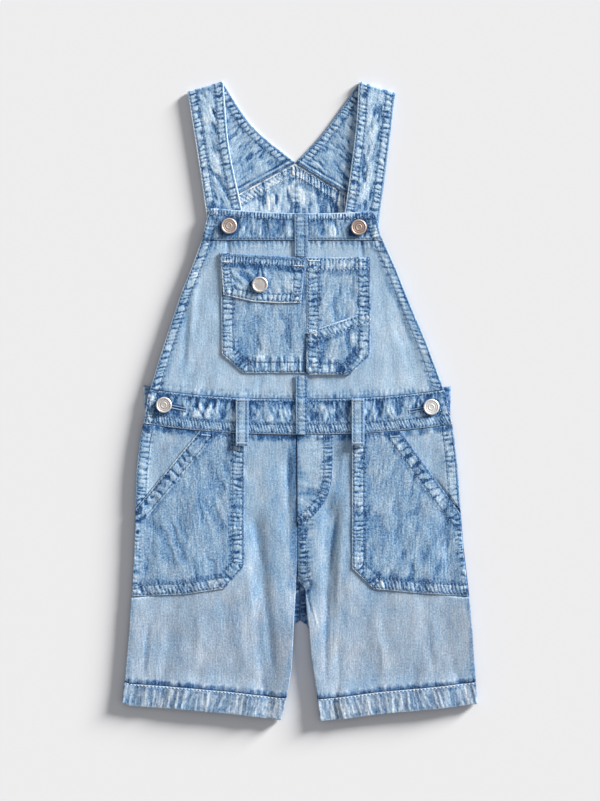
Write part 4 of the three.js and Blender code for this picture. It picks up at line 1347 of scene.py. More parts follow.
pocket_tool = Piece(
    "bib_tool_pocket", level(BIB_POCKET["divide"] + 0.15), of_table(BIB_POCKET["right"]),
    level(BIB_POCKET["low_right"]), floor_of(BIB_POCKET["tool_top"]), LIE["pocket"], THIN, 0.54, 0.9, pitch=0.62,
)
flap = Piece(
    "pocket_flap", of_table(FLAP["left"]), of_table(FLAP["right"]), floor_of(FLAP["low"]),
    floor_of(BIB_POCKET["top"]), LIE["pocket"], THIN, 0.58, 0.8, pitch=0.6,
)


def sew_bib():
    """Rows and gathers of the bib, its band, strips, pockets and flap."""
    left = bib.edge("left", 131, 9)
    right = bib.edge("right", 9, 131)
    for k, side in enumerate((left, right)):
        sew(bib, side, (1.4, 7.4))
        bib.effects.append(gathers(side, 1.4, 7.4, "blocks", 101 + k, lean=0.6 - 1.2 * k, amount=1 - 0.15 * k))
        bib.effects.append(ink(side, 0.8, 7.0, 0.16 + 0.20 * k, 118 + k, ragged=5))
        bib.effects.append(rub(side, 1.0, 0.30))
        bib.effects.append(ink(side, 8.0, 13.0, 0.16 + 0.04 * k, 103 + k, ragged=14))
    low = bib.edge("low", -120, 118)
    top = bib.edge("high", 66, -78)
    bib.effects.append(gathers(low, 0.2, 4.5, "loose", 105))
    bib.effects.append(ink(low, 0.0, 4.5, 0.20, 106))
    bib.effects.append(gathers(top, 0.2, 5.0, "loose", 107))
    bib.effects.append(ink(top, 0.0, 4.0, 0.18, 108))
    bib.effects.append(creases(BIB_CREASES))
    # Painted light: the bib's right side is made paler.
    bib.effects.append(tone(0.05, lambda x, y: smoothstep(x, 60, 74)))
    bib.effects.append(crumple(86, 10, 50, 0.06, 0.04, 109))
    band_top = band.edge("high", 58, -73)
    band_low = band.edge("low", -79, 66)
    sew(band, band_top, (5.0,), "fine", near=0.8, far=5.0, seed=111)
    sew(band, band_low, (1.5,))
    band.effects.append(crumple(88, 3.6, 12, 0.24, 0.22, 112, where=band_middle))
    band.effects.append(crumple(75, 1.9, 7, 0.12, 0.14, 116, where=band_middle))
    for k, side in enumerate((band.edge("left", 157, 132), band.edge("right", 132, 155))):
        sew(band, side, (1.4, 7.4), "loose", seed=143 + k)
        band.effects.append(ink(side, 7.6, 11.0, 0.14 + 0.04 * k, 145 + k, ragged=9))
        band.effects.append(rub(side, 1.0, 0.3))
    band.effects.append(strokes(band_low, 1.6, 19.0, 2.6, 14, 0.18, 0.12, 114))
    band.effects.append(ink(band_top, 5.5, 14.0, 0.20, 113, ragged=7))
    band.effects.append(rub(band_top, 1.1, 0.40))
    # Painted light: the band's right part is made paler.
    band.effects.append(tone(0.11, lambda x, y: smoothstep(x, 8, 30)))
    for k, (strip, low_y, high_y) in enumerate(((strip_upper, 119, 152), (strip_lower, -26, 21))):
        side = line((x_at(strip_left, high_y), high_y), (x_at(strip_left, low_y), low_y))
        sew(strip, side, (1.8, 8.3))
        strip.effects.append(gathers(side, 1.8, 8.3, "loose", 115 + k, amount=0.8))


def band_middle(x, y):
    """1 between the rows of the bib's top band."""
    return smoothstep(y - BIB_BAND["seam"], 1.5, 4) * smoothstep(bib_top(x) - y, 5, 7)


BIB_CREASES = table(
    "x0 y0 x1 y1 width rise tint",
    (-92, 84, -95, 18, 4.0, -0.5, -0.12),
    (-84, 110, -90, 40, 4.0, 0.35, 0.07),
    (-57.8, 134, -58.4, 118, 2.4, -0.5, -0.16),
    (50.4, 134, 51.5, 117, 2.4, -0.5, -0.16),
    (74, 96, 99, 22, 4.0, -0.2, -0.05),
    (66, 100, 84, 26, 5.0, 0.15, 0.02),
    (-30, 20, -34, 8, 3.0, -0.3, -0.06),
)


FLAP_CREASES = table(
    "x0 y0 x1 y1 width rise tint",
    (-32.6, 113.5, -35.2, 99.5, 1.0, -0.25, -0.42),
    (-32.2, 113.5, -29.4, 99.5, 1.0, -0.25, -0.42),
    (-32.4, 109.5, -32.4, 99, 1.9, 0.1, 0.12),
    (-44, 106, -39, 92, 1.6, -0.2, -0.24),
    (-22, 104, -26, 90, 1.6, -0.2, -0.24),
    (-52, 101, -47, 94, 1.6, -0.2, -0.20),
)


def flap_middle(x, y):
    """1 inside the flap's rows."""
    return smoothstep(flap.edge_distance(x, y), 5, 9)


def sew_bib_pockets():
    """Two rows round each pocket, the pocket hems, and the flap's rows."""
    left = line((-64.8, 121.4), (-63.6, 38.5), (-46.3, 23))
    low_left = line((-46.3, 22.8), (5.3, 22.8))
    right = line((41, 21.3), (57.8, 36.9), (58.4, 74), (57.4, 117.7))
    low_right = line((5.3, 21.6), (41, 21.6))
    top_right = line((57.5, 117.6), (5.3, 117.2))
    divide = line((5.4, 117.2), (5.4, 21.6))
    sew(pocket_left, left, (1.4, 9.4), "blocks", seed=121)
    sew(pocket_left, low_left, (1.4, 9.0))
    pocket_left.effects.append(strokes(low_left, 0.8, 13.0, 2.2, 13, 0.32, 0.24, 122))
    for k, pocket in enumerate((pocket_right, pocket_tool)):
        sew(pocket, right, (1.4, 9.4), "blocks", seed=123)
        sew(pocket, low_right, (1.4, 9.0))
        pocket.effects.append(strokes(low_right, 0.8, 12.0, 2.2, 13, 0.32, 0.30, 124))
        sew(pocket, divide, (1.8, 9.8), "blocks", seed=125)
        pocket.effects.append(rub(right, 1.0, 0.32))
        pocket.effects.append(rub(low_right, 1.0, 0.28))
        pocket.effects.append(ink(right, 10.0, 15.0, 0.14, 126))
        pocket.effects.append(ink(divide, 10.4, 15.0, 0.14, 127))
        pocket.effects.append(crumple(80, 4.4, 13, 0.18, 0.16 + 0.12 * k, 128 + k))
    sew(pocket_right, top_right, (1.6, 9.6), "pucker", seed=131, pale=0.7)
    pocket_right.effects.append(ink(top_right, 10.4, 16.0, 0.26, 132))
    pocket_right.effects.append(rub(top_right, 1.2, 0.30))
    slope = line((58.5, 74), (5.3, 55.8))
    sew(pocket_tool, slope, (1.5, 8.2), "pucker", seed=133, lean=0.35, pale=0.5)
    pocket_tool.effects.append(ink(slope, 9.8, 15.0, 0.26, 134))
    pocket_tool.effects.append(rub(slope, 1.3, 0.40))
    pocket_left.effects.append(rub(left, 1.0, 0.30))
    pocket_left.effects.append(rub(low_left, 1.0, 0.28))
    pocket_left.effects.append(ink(left, 10.0, 15.0, 0.14, 135))
    pocket_left.effects.append(crumple(94, 4.6, 15, 0.18, 0.15, 136))
    flap_left = line((-64.9, 121.4), (-62.4, 86.8))
    flap_low = line((-62.4, 86.8), (-38, 81.2), (-16, 79.9), (1.2, 80.3))
    flap_right = line((1.2, 80.3), (5, 117.2))
    flap_top = line((5, 117.2), (-64.9, 121.4))
    sew(flap, flap_left, (1.6, 7.0), "blocks", seed=137, pale=0.36)
    sew(flap, flap_low, (1.6, 7.0), "blocks", seed=138, pale=0.36)
    sew(flap, flap_right, (1.6, 7.0), "blocks", seed=139, pale=0.36)
    sew(flap, flap_top, (2.6, 7.6), "fine", seed=140)
    flap.effects.append(ink(flap_top, 8.4, 14.0, 0.42, 141))
    flap.effects.append(rub(flap_low, 1.4, 0.42))
    flap.effects.append(rub(flap_left, 1.2, 0.36))
    flap.effects.append(rub(flap_right, 1.0, 0.24))
    flap.effects.append(crumple(118, 3.2, 9, 0.22, 0.28, 142, where=flap_middle))
    flap.effects.append(ink(flap_top, 0.6, 7.6, 0.20, 148, ragged=12))
    flap.effects.append(creases(FLAP_CREASES))


sew_bib()
sew_bib_pockets()
smooth_under(bib, lambda x, y: np.maximum(pocket_left.edge_distance(x, y), pocket_right.edge_distance(x, y)))
smooth_under(pocket_left, flap.edge_distance)
smooth_under(pocket_right, pocket_tool.edge_distance)

# %% [markdown]
# ## The back
#
# The back lies face down on the surface: two legs, a waistband and a bib that ends in the V of the
# yoke, where the straps begin. Its inside shows at the neck and through the gap between the
# legs, and its outside is the underside of the laid garment. Nothing may pass below zero, so its
# gathers only rise.

# %% Back pieces
# Of a back leg's rows, these shares lie below, in and above the part that shows at the crotch.
CROTCH_ROWS = ((0, 0.17, 0.59, 1), (0, 0.26, 0.47, 1))
back_left = Piece(
    "back_leg_left", lambda y: x_at(LEFT_SIDE, y) + 1, of_table(BACK_LEFT_INSEAM),
    lambda x: y_at(LEFT_HEM, x) + 1.5, lambda x: waist_low(x) - SEAM_GAP, LIE["floor"], CLOTH, 0.46, 0.6,
    pitch=(2.4, 2.1), step=2, spread=CROTCH_ROWS,
)
back_right = Piece(
    "back_leg_right", of_table(BACK_RIGHT_INSEAM), lambda y: x_at(RIGHT_SIDE, y) - 1,
    lambda x: y_at(RIGHT_HEM, x) + 1.5, lambda x: waist_low(x) - SEAM_GAP, LIE["floor"], CLOTH, 0.46, 0.6,
    pitch=(2.4, 2.1), step=2, spread=CROTCH_ROWS,
)
back_bib = Piece(
    "back_bib", of_table(BACK_BIB["left"]), of_table(BACK_BIB["right"]),
    lambda x: waist_top(x) + BACK_WAIST["extra"] + SEAM_GAP,
    lambda x: y_at(BACK_BIB["yoke"], x) - SEAM_GAP, LIE["floor"], CLOTH, 0.67, 0.9, pitch=(0.9, 2.0), step=2,
    spread=((0, 0.35, 1), (0, 0.66, 1)),
)


def between_legs(x, y):
    """1 on the small part of the back that shows under the crotch."""
    return smoothstep(y, -190, -176) * (1 - smoothstep(y, -152, -146)) * (1 - smoothstep(np.abs(x - 1), 9, 15))


def crotch_shade(x, y):
    """Painted shade between the legs, where the light hardly comes: dark, with a few pale marks."""
    marks = smoothstep(noise(x / 3.4, y / 1.7, 159), 0.50, 0.66)
    low = 1 - smoothstep(y, -176, -171)
    return 0 * x, (0.42 * marks - 0.48 + 0.30 * low) * between_legs(x, y)


def sew_back():
    """Seams of the back, seen from inside at the neck and from below."""
    yoke = line((62.9, 154.3), (-3.4, 194.7), (-73.2, 156.9))
    back_bib.effects.append(gathers(yoke, 1.4, 8.2, "pucker", 151, lean=0.5, amount=1.4))
    back_bib.effects.append(rub(yoke, 1.2, 0.34))
    back_bib.effects.append(ink(yoke, 1.4, 8.6, 0.26, 160, ragged=6))
    back_bib.effects.append(ink(yoke, 8.6, 14.0, 0.36, 153, ragged=5))
    back_bib.effects.append(crumple(96, 3.4, 12, 0.2, 0.54, 156))
    centre = line((-3.4, 192), (-4.0, 14))
    back_bib.effects.append(gathers(centre, -3.0, 3.0, "loose", 154))
    back_bib.effects.append(groove(centre, 0.0))
    SEWN.append((back_bib, inset(yoke, 1.6), False, 0.5))
    SEWN.append((back_bib, inset(yoke, 7.8), False, 0.5))
    for piece in (back_left, back_right):
        inner = piece.edge("right", -245, -34) if piece is back_left else piece.edge("left", -34, -245)
        piece.effects.append(gathers(inner, 0.4, 5.0, "blocks", 155))
        piece.effects.append(rub(inner, 1.2, 0.1))
    back_left.effects.append(crotch_shade)
    back_right.effects.append(crotch_shade)
    back_waistband.effects.append(crumple(84, 3.4, 9, 0.18, 0.30, 158))
    for piece in (back_left, back_right, back_bib, back_waistband):
        kept = list(piece.effects)
        piece.effects.clear()
        piece.effects.append(lambda x, y, kept=kept: lowered(*total(kept, x, y)))


def lowered(height, shade):
    """Relief that keeps clear of the front above it."""
    return np.clip(height, -0.2, 0.28), shade


sew_back()

# %% Make every laid piece
CLOTH_PIECES = (
    (back_left, DENIM_BACK, ["back_waistband"]),
    (back_right, DENIM_BACK, ["back_waistband"]),
    (back_waistband, DENIM_BACK, ["back_bib"]),
    (back_bib, DENIM_BACK, ["back_waistband"]),
    (leg_left, DENIM, ["back_leg_left"]),
    (leg_right, DENIM, ["back_leg_right"]),
    (hem_left, DENIM, ["back_leg_left"]),
    (hem_right, DENIM, ["back_leg_right"]),
    (pocket_hand_left, DENIM, ["front_leg_left"]),
    (pocket_hand_right, DENIM, ["front_leg_right"]),
    (waistband, DENIM, ["back_waistband"]),
    (loops[0], DENIM, ["front_waistband", "hand_pocket_left"]),
    (loops[1], DENIM, ["front_waistband", "hand_pocket_right"]),
    (bib, DENIM, ["back_bib"]),
    (band, DENIM, ["strap_left", "strap_right"]),
    (strip_upper, DENIM, ["bib_top_band"]),
    (strip_lower, DENIM, ["bib_panel"]),
    (pocket_left, DENIM, ["bib_panel"]),
    (pocket_right, DENIM, ["bib_panel"]),
    (pocket_tool, DENIM, ["bib_pocket_right"]),
    (flap, DENIM, ["bib_pocket_left"]),
)


def plan_area(x, y):
    """Area of a grid seen from above: half the cross product of each cell's diagonals."""
    ax, ay = x[1:, 1:] - x[:-1, :-1], y[1:, 1:] - y[:-1, :-1]
    bx, by = x[1:, :-1] - x[:-1, 1:], y[1:, :-1] - y[:-1, 1:]
    return float(np.abs(ax * by - ay * bx).sum() / 2)


waistband.effects += [slit(-110.9, -3.3, -12, 18), slit(107.8, -4.9, 192, 18)]
# Painted shade round each button.
waistband.effects += [seat(-110.9, -3.3, 0.24), seat(107.8, -4.9, 0.24)]
band.effects += [seat(-57.6, 143.1, 0.55), seat(48.4, 142, 0.55)]
flap.effects.append(seat(-32.4, 95.1, 0.28))
for piece, material, rests_on in CLOTH_PIECES:
    px, py = piece.places()
    flat = (max(10.2, float(np.ptp(px))), float(np.ptp(py)))
    area = min(plan_area(px, py), flat[0] * flat[1])
    piece.make(material, flat=flat, rests_on=rests_on, area=area)

# %% [markdown]
# ## Straps
#
# Each strap is one long piece of doubled cloth: from its end under the bib up to the shoulder,
# where it folds, and down the back to the yoke. Its two edges are smooth lines through a few
# measured points, and the surface is the ruled one between them, with a half turn at the fold.

# %% Straps
STRAP_LEFT = {
    "front_outer": line((-72.8, 124.5), (-76.3, 151.7), (-83.6, 200.9), (-91.6, 251.3)),
    "front_inner": line((-42.6, 131), (-47.7, 159.7), (-57.8, 208.7), (-62.3, 260)),
    "back_outer": line((-91.6, 251.3), (-81.8, 205.8), (-73.2, 157.6)),
    "back_inner": line((-62.3, 260), (-38.4, 224.9), (-3.6, 195.4)),
}
STRAP_RIGHT = {
    "front_outer": line((62.6, 127.1), (66, 153.3), (73.4, 208.6), (78.2, 250.1)),
    "front_inner": line((32.4, 133.7), (37.6, 159.7), (45.8, 221.4), (48.4, 260)),
    "back_outer": line((78.2, 250.1), (70.4, 205.8), (62.9, 155)),
    "back_inner": line((48.4, 260), (20.7, 221.4), (-3.2, 195.4)),
}
STRAP_ROWS = (1.7, 7.4)
STRAP = {"front": 196, "fold": 12, "back": 172, "across": 46, "width": 31.0}


def smooth_line(points, count):
    """Even points on the smooth curve through given ones: each stretch is the cubic whose slope at a
    point is half the chord from the point before it to the one after."""
    ends = np.concatenate([[2 * points[0] - points[1]], points, [2 * points[-1] - points[-2]]])
    t = np.linspace(0, 1, 60, endpoint=False)[:, None]
    made = []
    for a, b, c, d in zip(ends[:-3], ends[1:-2], ends[2:-1], ends[3:]):
        va, vb = (c - a) / 2, (d - b) / 2
        made.append((2 * b - 2 * c + va + vb) * t**3 + (-3 * b + 3 * c - 2 * va - vb) * t**2 + va * t + b)
    dense = np.concatenate([*made, points[-1:]])
    reach = np.concatenate([[0], np.cumsum(np.hypot(*np.diff(dense, axis=0).T))])
    at = np.linspace(0, reach[-1], count + 1)
    return np.stack([np.interp(at, reach, dense[:, k]) for k in (0, 1)], axis=1)


class Strap:
    """A strap's surface: rows of an outer and an inner edge point, a height and a normal."""

    def __init__(self, name, edges, hand, seed):
        self.name, self.hand = name, hand
        radius = (STRAP_GAP + DOUBLE) / 2
        front_z = DOUBLE / 2 + 2 * radius
        outer, inner = (smooth_line(edges["front_" + side], STRAP["front"]) for side in ("outer", "inner"))
        away = inner[-1] - outer[-1]
        away = np.array([-away[1], away[0]]) / np.linalg.norm(away) * (1 if hand < 0 else -1)
        angle = np.linspace(math.pi / 2, -math.pi / 2, STRAP["fold"] + 1)
        turn = away[None, :] * np.cos(angle)[:, None]
        back_outer, back_inner = (
            smooth_line(edges["back_" + side], STRAP["back"])[1:] for side in ("outer", "inner")
        )
        self.outer = np.concatenate([outer[:-1], outer[-1] + radius * turn, back_outer])
        self.inner = np.concatenate([inner[:-1], inner[-1] + radius * turn, back_inner])
        n_front, n_back = STRAP["front"], STRAP["back"]
        self.z = np.concatenate([
            np.full(n_front, front_z), DOUBLE / 2 + radius + radius * np.sin(angle), np.full(n_back, DOUBLE / 2)
        ])
        up = np.tile([0.0, 0.0, 1.0], (n_front, 1))
        fold = np.concatenate([turn, np.sin(angle)[:, None]], axis=1)
        self.normal = np.concatenate([up, fold, -np.tile([0.0, 0.0, 1.0], (n_back, 1))])
        middle = (self.outer + self.inner) / 2
        step = np.hypot(*np.diff(middle, axis=0).T) + 0.35 * (np.abs(np.diff(self.z)) > 0)
        self.along = np.concatenate([[0], np.cumsum(step)])
        self.width = np.hypot(*(self.inner - self.outer).T)
        self.wrinkles = [
            crumple(102 - 18 * hand, 2.7, 8, 0.26, 0.36, seed + 8), crumple(90 + 40 * hand, 2.0, 7, 0.2, 0.28, seed + 9)
        ]
        self.top, self.inside = strap_effects(self.along[-1], self.along[n_front], seed, hand)

    def surface(self, share, row, side):
        """Points on one side of the strap: share runs from the outer edge to the inner one."""
        at = np.arange(len(self.z))
        pick = lambda values: np.interp(row, at, values)
        outer = np.stack([pick(self.outer[:, 0]), pick(self.outer[:, 1])], axis=-1)
        inner = np.stack([pick(self.inner[:, 0]), pick(self.inner[:, 1])], axis=-1)
        normal = np.stack([pick(self.normal[:, k]) for k in range(3)], axis=-1)
        along, width, half = pick(self.along), pick(self.width), STRAP["width"] / 2
        from_outer, from_inner = share * width, (1 - share) * width
        across = np.minimum(from_outer, half) + np.maximum(0, half - from_inner)
        height, shade = total(self.top if side > 0 else self.inside, across, along)
        place = outer + (inner - outer) * share[..., None]
        edge = np.minimum(from_outer, from_inner)
        rise, tint = self.wrinkles[0 if side > 0 else 1](place[..., 0], place[..., 1])
        height = height + rise * smoothstep(edge, 7.5, 10)
        shade = shade + tint * smoothstep(edge, 7.5, 10)
        covered = smoothstep(place[..., 1], bib_top(place[..., 0]) - 3, bib_top(place[..., 0]) + 1)
        on_front = row < STRAP["front"]
        height = height * np.where(on_front & (side > 0), covered, 1)
        height = np.where(on_front & (side < 0), 0, height)
        height = np.where(~on_front & (side > 0), -np.abs(height) * 0.3, height)
        limit = np.where(on_front, 0.9, 0.5)
        height = np.minimum(height, limit)
        near = np.clip(1 - edge / ROUND_WIDTH, 0, 1)
        offset = DOUBLE / 2 - 0.48 * DOUBLE * (1 - np.sqrt(1 - near**2)) + height
        z = pick(self.z) + normal[..., 2] * side * offset
        xy = place + normal[..., :2] * side * offset[..., None]
        return np.concatenate([xy, z[..., None]], axis=-1), shade, np.stack([from_outer, along], axis=-1)

    def make(self):
        """Builds the strap, and hands it to the frame in place of its solid."""
        share = shares(STRAP["width"], STRAP["width"] / STRAP["across"], 1)
        if self.hand > 0:
            share = share[::-1]
        row = np.arange(len(self.z), dtype=float)
        s, r = np.meshgrid(share, row)
        outer, shade, grain = self.surface(s, r, 1)
        inner, shade_in, _ = self.surface(s, r, -1)
        points, quads, rim = closed_shell(outer, inner, 1)
        fade = np.concatenate([(0.615 + 0.015 * self.hand + shade).ravel(), (0.535 + shade_in).ravel()])
        mottle = 0.8 + np.concatenate([np.abs(shade).ravel(), np.abs(shade_in).ravel()])
        values = [("fade", np.clip(fade, 0.02, 0.98)), ("mottle", mottle), ("grey", 0.1 + 0 * fade)]
        grain = np.concatenate([grain.reshape(-1, 2)] * 2)
        made = make_mesh(self.name, points, quads, rim, DENIM, values, grain)
        length = float(self.along[-1])
        finish_cloth(made, [self.name], flat=(36.0, length), rests_on=["back_bib"], area=31.0 * length)
        print(self.name, len(quads) * 2 + len(rim), "triangles,", round(length), "mm long")
        return made


def strap_effects(length, fold_at, seed, hand):
    """Rows, gathers and wrinkles of a strap, in distances across and along it: for its outside and
    for its inside. The edge on the left as seen is made paler than the right one, partly as rubbed
    wear and partly as painted light, because it is turned away from the sun. The right strap's outer
    edge, which faces the sun, is darkened as painted shade. On the inside face the inner edge is
    made darker."""
    outer = line((0, length), (0, 0))
    inner = line((STRAP["width"], 0), (STRAP["width"], length))
    # Rubbed pale edges with painted light and shade in their amounts: each strap's left edge, turned away from the sun,
    # is paler than its right one, and the right strap's outer edge, which faces the sun, is darkened.
    edge_rub_and_painted_light = (0.46, 0.5) if hand < 0 else (-0.14, 0.7)
    sides = []
    for k in (0, 1):
        effects = [
            gathers(outer, 1.7, 7.4, "links", seed + k),
            gathers(inner, 1.7, 7.4, "links", seed + 2 + k),
            rub(outer, 1.0, edge_rub_and_painted_light[0]),
            rub(inner, 1.0, edge_rub_and_painted_light[1] if k == 0 else -0.5),
            ink(outer, 7.8, 11.0, 0.12, seed + 4 + k, ragged=5),
            ink(inner, 7.8, 11.0, 0.12, seed + 6 + k, ragged=5),
            fold_painted_shade(fold_at),
            outer_edge_painted_light(0.10 if hand < 0 else 0.0),
        ]
        effects += [groove(side, row) for side in (outer, inner) for row in STRAP_ROWS]
        if k == 1:
            effects.append(yoke_fold(length))
        sides.append(effects)
    return sides


def yoke_fold(length):
    """Where the strap ends in the yoke, it is folded under: two dark lines with a pale one between."""

    def effect(across, along):
        from_end = length - along
        dark = np.exp(-(((from_end - 1.0) / 0.7) ** 2)) + 0.8 * np.exp(-(((from_end - 4.2) / 0.9) ** 2))
        pale = np.exp(-(((from_end - 2.6) / 0.7) ** 2))
        return 0.15 * pale - 0.15 * dark, 0.14 * pale - 0.40 * dark

    return effect


def fold_painted_shade(fold_at):
    """Painted shade: the shoulder fold faces the sun, so it is made a little darker."""
    return lambda across, along: (
        np.zeros_like(across), -0.16 * np.exp(-(((along - fold_at) / 2.4) ** 2))
    )


def outer_edge_painted_light(gain):
    """Painted light: along its outer edge a strap is made paler."""
    return lambda across, along: (0 * across, gain * (1 - smoothstep(across, 5, 10)))


straps = [Strap("strap_left", STRAP_LEFT, -1, 161), Strap("strap_right", STRAP_RIGHT, 1, 181)]
for strap in straps:
    strap.make()

# %% [markdown]
# ## Stitches
#
# Every row is sewn in short lock stitches that bed into the cloth: each is a thin thread that comes
# up, runs on the surface and goes down again. Bar tacks and buttonholes are the same thread laid
# close. There are thousands, so each is a plain tube with six sides and few faces, joined into
# two objects. A thread follows the cloth's own surface function, so it rides over the gathers.


# %% Stitches
def tubes(points, ups, radius):
    """Closed tubes along rows of points: a ring of six round each inner point and one tip at each end.
    Points and ups are arrays of (stitch, station, 3)."""
    count, stations = points.shape[:2]
    tangent = np.gradient(points, axis=1)
    tangent /= np.linalg.norm(tangent, axis=2, keepdims=True)
    aside = np.cross(ups, tangent)
    aside /= np.linalg.norm(aside, axis=2, keepdims=True)
    turn = np.arange(STITCH["sides"]) * 2 * math.pi / STITCH["sides"]
    inner = slice(1, stations - 1)
    ring = (
        points[:, inner, None]
        + radius * aside[:, inner, None] * np.cos(turn)[:, None]
        + radius * 0.8 * ups[:, inner, None] * np.sin(turn)[:, None]
    )
    rings = stations - 2
    made = np.concatenate([points[:, :1], ring.reshape(count, -1, 3), points[:, -1:]], axis=1)
    sides = STITCH["sides"]
    near = 1 + np.arange(rings - 1)[:, None] * sides + np.arange(sides)
    nearly = 1 + np.arange(rings - 1)[:, None] * sides + (np.arange(sides) + 1) % sides
    quads = np.stack([near, nearly, nearly + sides, near + sides], axis=-1).reshape(-1, 4)
    a, b = 1 + np.arange(sides), 1 + (np.arange(sides) + 1) % sides
    last = 1 + rings * sides
    shift = (rings - 1) * sides
    tips = np.concatenate([
        np.stack([0 * a, b, a], axis=1), np.stack([0 * a + last, a + shift, b + shift], axis=1)
    ])
    base = np.arange(count)[:, None, None] * made.shape[1]
    return made.reshape(-1, 3), (base + quads).reshape(-1, 4), (base + tips).reshape(-1, 3)


STATION = np.array([-1.0, -0.72, 0.0, 0.72, 1.0])
STATION_LIFT = np.array([-0.30, 0.06, 0.14, 0.06, -0.30])
THREADS = {"front": [], "back": []}


def lay(group, starts, ends, surface, radius, pale, lift=1.0):
    """Adds stitches between pairs of points in plan, on a surface that gives points and ups."""
    middle, half = (starts + ends) / 2, (ends - starts) / 2
    plan = middle[:, None] + half[:, None] * STATION[:, None]
    points, ups = surface(plan[..., 0], plan[..., 1])
    points = points + ups * (lift * STATION_LIFT)[:, None]
    THREADS[group].append((*tubes(points, ups, radius), pale))


def needle_hole_painted_shade(group, places, surface):
    """Small dark six-sided beads, flat on the cloth, where the needle went in: painted shade for the hollow of each
    hole.
    """
    points, ups = surface(places[:, 0], places[:, 1])
    side = np.cross(ups, [0.0, 1.0, 0.01])
    side /= np.linalg.norm(side, axis=1, keepdims=True)
    other = np.cross(ups, side)
    turn = np.arange(6) * math.pi / 3
    spread = STITCH["hole"] * (
        side[:, None] * np.cos(turn)[:, None] + other[:, None] * np.sin(turn)[:, None]
    )
    ring = points[:, None] + spread + 0.03 * ups[:, None]
    made = np.concatenate([ring, (points + 0.10 * ups)[:, None], (points - 0.3 * ups)[:, None]], axis=1)
    k = np.arange(6)
    after = (k + 1) % 6
    fan = np.concatenate([np.stack([k, after, 0 * k + 6], axis=1), np.stack([after, k, 0 * k + 7], axis=1)])
    triangles = (np.arange(len(points))[:, None, None] * 8 + fan).reshape(-1, 3)
    THREADS[group].append((made.reshape(-1, 3), np.zeros((0, 4), int), triangles, 0.0))


def surface_of(piece, turned=False):
    """A piece's surface as points and ups."""

    def at(x, y):
        ups = np.zeros(x.shape + (3,))
        if turned:
            ups[..., 2] = -1
            z = piece.under(x, y) + total(piece.below, x, y)[0] + 0.2
        else:
            ups[..., 2] = 1
            z = piece.outer(x, y)[0]
        return np.stack([x, y, z], axis=-1), ups

    return at


def run(path, pitch=None):
    """Starts and ends of the stitches of a row, with the small gap of a needle hole between them."""
    pitch = pitch or STITCH["pitch"]
    at_points, _ = even_points(path, pitch)
    step = np.diff(at_points, axis=0)
    gap = (1 - STITCH["length"] / STITCH["pitch"]) / 2
    return at_points[:-1] + gap * step, at_points[1:] - gap * step


def gap_after(starts, ends):
    """The needle hole after each stitch: halfway to the next one."""
    following = np.concatenate([starts[1:], ends[-1:]])
    return (ends + following) / 2


def lock_stitch_rows():
    """The rows that the pieces asked for, where nothing lies over them."""
    for piece, path, turned, pale in SEWN:
        starts, ends = run(path)
        middle = (starts + ends) / 2
        inside = piece.edge_distance(middle[:, 0], middle[:, 1]) > 0.5
        for cover in COVERS.get(piece.node, ()):
            inside &= cover(middle[:, 0], middle[:, 1]) < 0.3
        if inside.any():
            group = "back" if turned or piece in BACK_PIECES else "front"
            surface = surface_of(piece, turned)
            lay(group, starts[inside], ends[inside], surface, STITCH["radius"], pale)
            needle_hole_painted_shade(group, gap_after(starts, ends)[inside], surface)


def strap_rows():
    """Four rows along each strap, on its outside and, on the back, also on its inside. A distance
    counts from the outer edge, or from the inner one where it is negative."""
    for strap in straps:
        rows = np.arange(len(strap.z))
        for distance in (*STRAP_ROWS, *(-d for d in STRAP_ROWS)):
            starts, ends = run(line((abs(distance), 1.5), (abs(distance), strap.along[-1] - 2)))
            for side in (1, -1):
                def surface(across, along, side=side, distance=distance):
                    row = np.interp(along, strap.along, rows)
                    share = across / np.interp(row, rows, strap.width)
                    points, _, _ = strap.surface(share if distance > 0 else 1 - share, row, side)
                    ups = np.stack([np.interp(row, rows, strap.normal[:, k]) for k in range(3)], axis=-1)
                    return points, side * ups

                fold = strap.along[STRAP["front"]]
                middle = (starts + ends) / 2
                place = surface(middle[:, 0], middle[:, 1])[0]
                hidden = (middle[:, 1] < fold) & (place[:, 1] < bib_top(place[:, 0]) - 1)
                shown = ~hidden & ((middle[:, 1] < fold + 4) if side > 0 else (middle[:, 1] > fold + 4))
                lay("front", starts[shown], ends[shown], surface, STITCH["radius"], 0.2)
                needle_hole_painted_shade("front", gap_after(starts, ends)[shown], surface)


def bar_tack(piece, x, y, angle, length, width=1.5, pale=0.8):
    """A bar of close stitches across a line, which holds a pocket's corner or a loop's end."""
    count = int(length / 0.5)
    c, s = math.cos(math.radians(angle)), math.sin(math.radians(angle))
    at = np.linspace(-length / 2, length / 2, count)[:, None]
    centre = np.array([x, y]) + at * np.array([c, s])
    across = np.array([-s, c]) * width / 2
    slant = np.array([c, s]) * 0.25
    lay("front", centre - across - slant, centre + across + slant, surface_of(piece), 0.26, pale)


BAR_TACKS = (
    (flap, -59.6, 113.6, -3, 7.5, 1.3), (flap, -0.6, 110.4, -4, 8, 1.3),
    (pocket_right, 11.8, 114.6, -1, 9, 1.3, 0.7), (pocket_tool, 11.4, 55.4, 19, 5.5, 1.3, 0.7),
    (pocket_hand_left, -76.5, -28.0, -6, 7, 1.2, 0.55), (pocket_hand_right, 78, -29.0, 4, 7, 1.2, 0.55),
    (loops[0], -46.9, 0.6, 0, 8, 1.8, 0.55), (loops[0], -46.9, -34.6, 0, 8, 1.8, 0.55),
    (loops[1], 47.8, 0.6, 0, 8, 1.8, 0.55), (loops[1], 47.8, -34.6, 0, 8, 1.8, 0.55),
    (leg_right, 5.4, -93.4, -6, 6.6, 3.6, 0.45), (waistband, -122.5, -12.5, 0, 2.4, 1.5, 0.5),
    (back_bib, -5.4, 188.6, 90, 6.5, 2.6, 0.85),
)
BUTTONHOLES = ((waistband, -110.9, -3.3, -12, 18), (waistband, 107.8, -4.9, 192, 18))


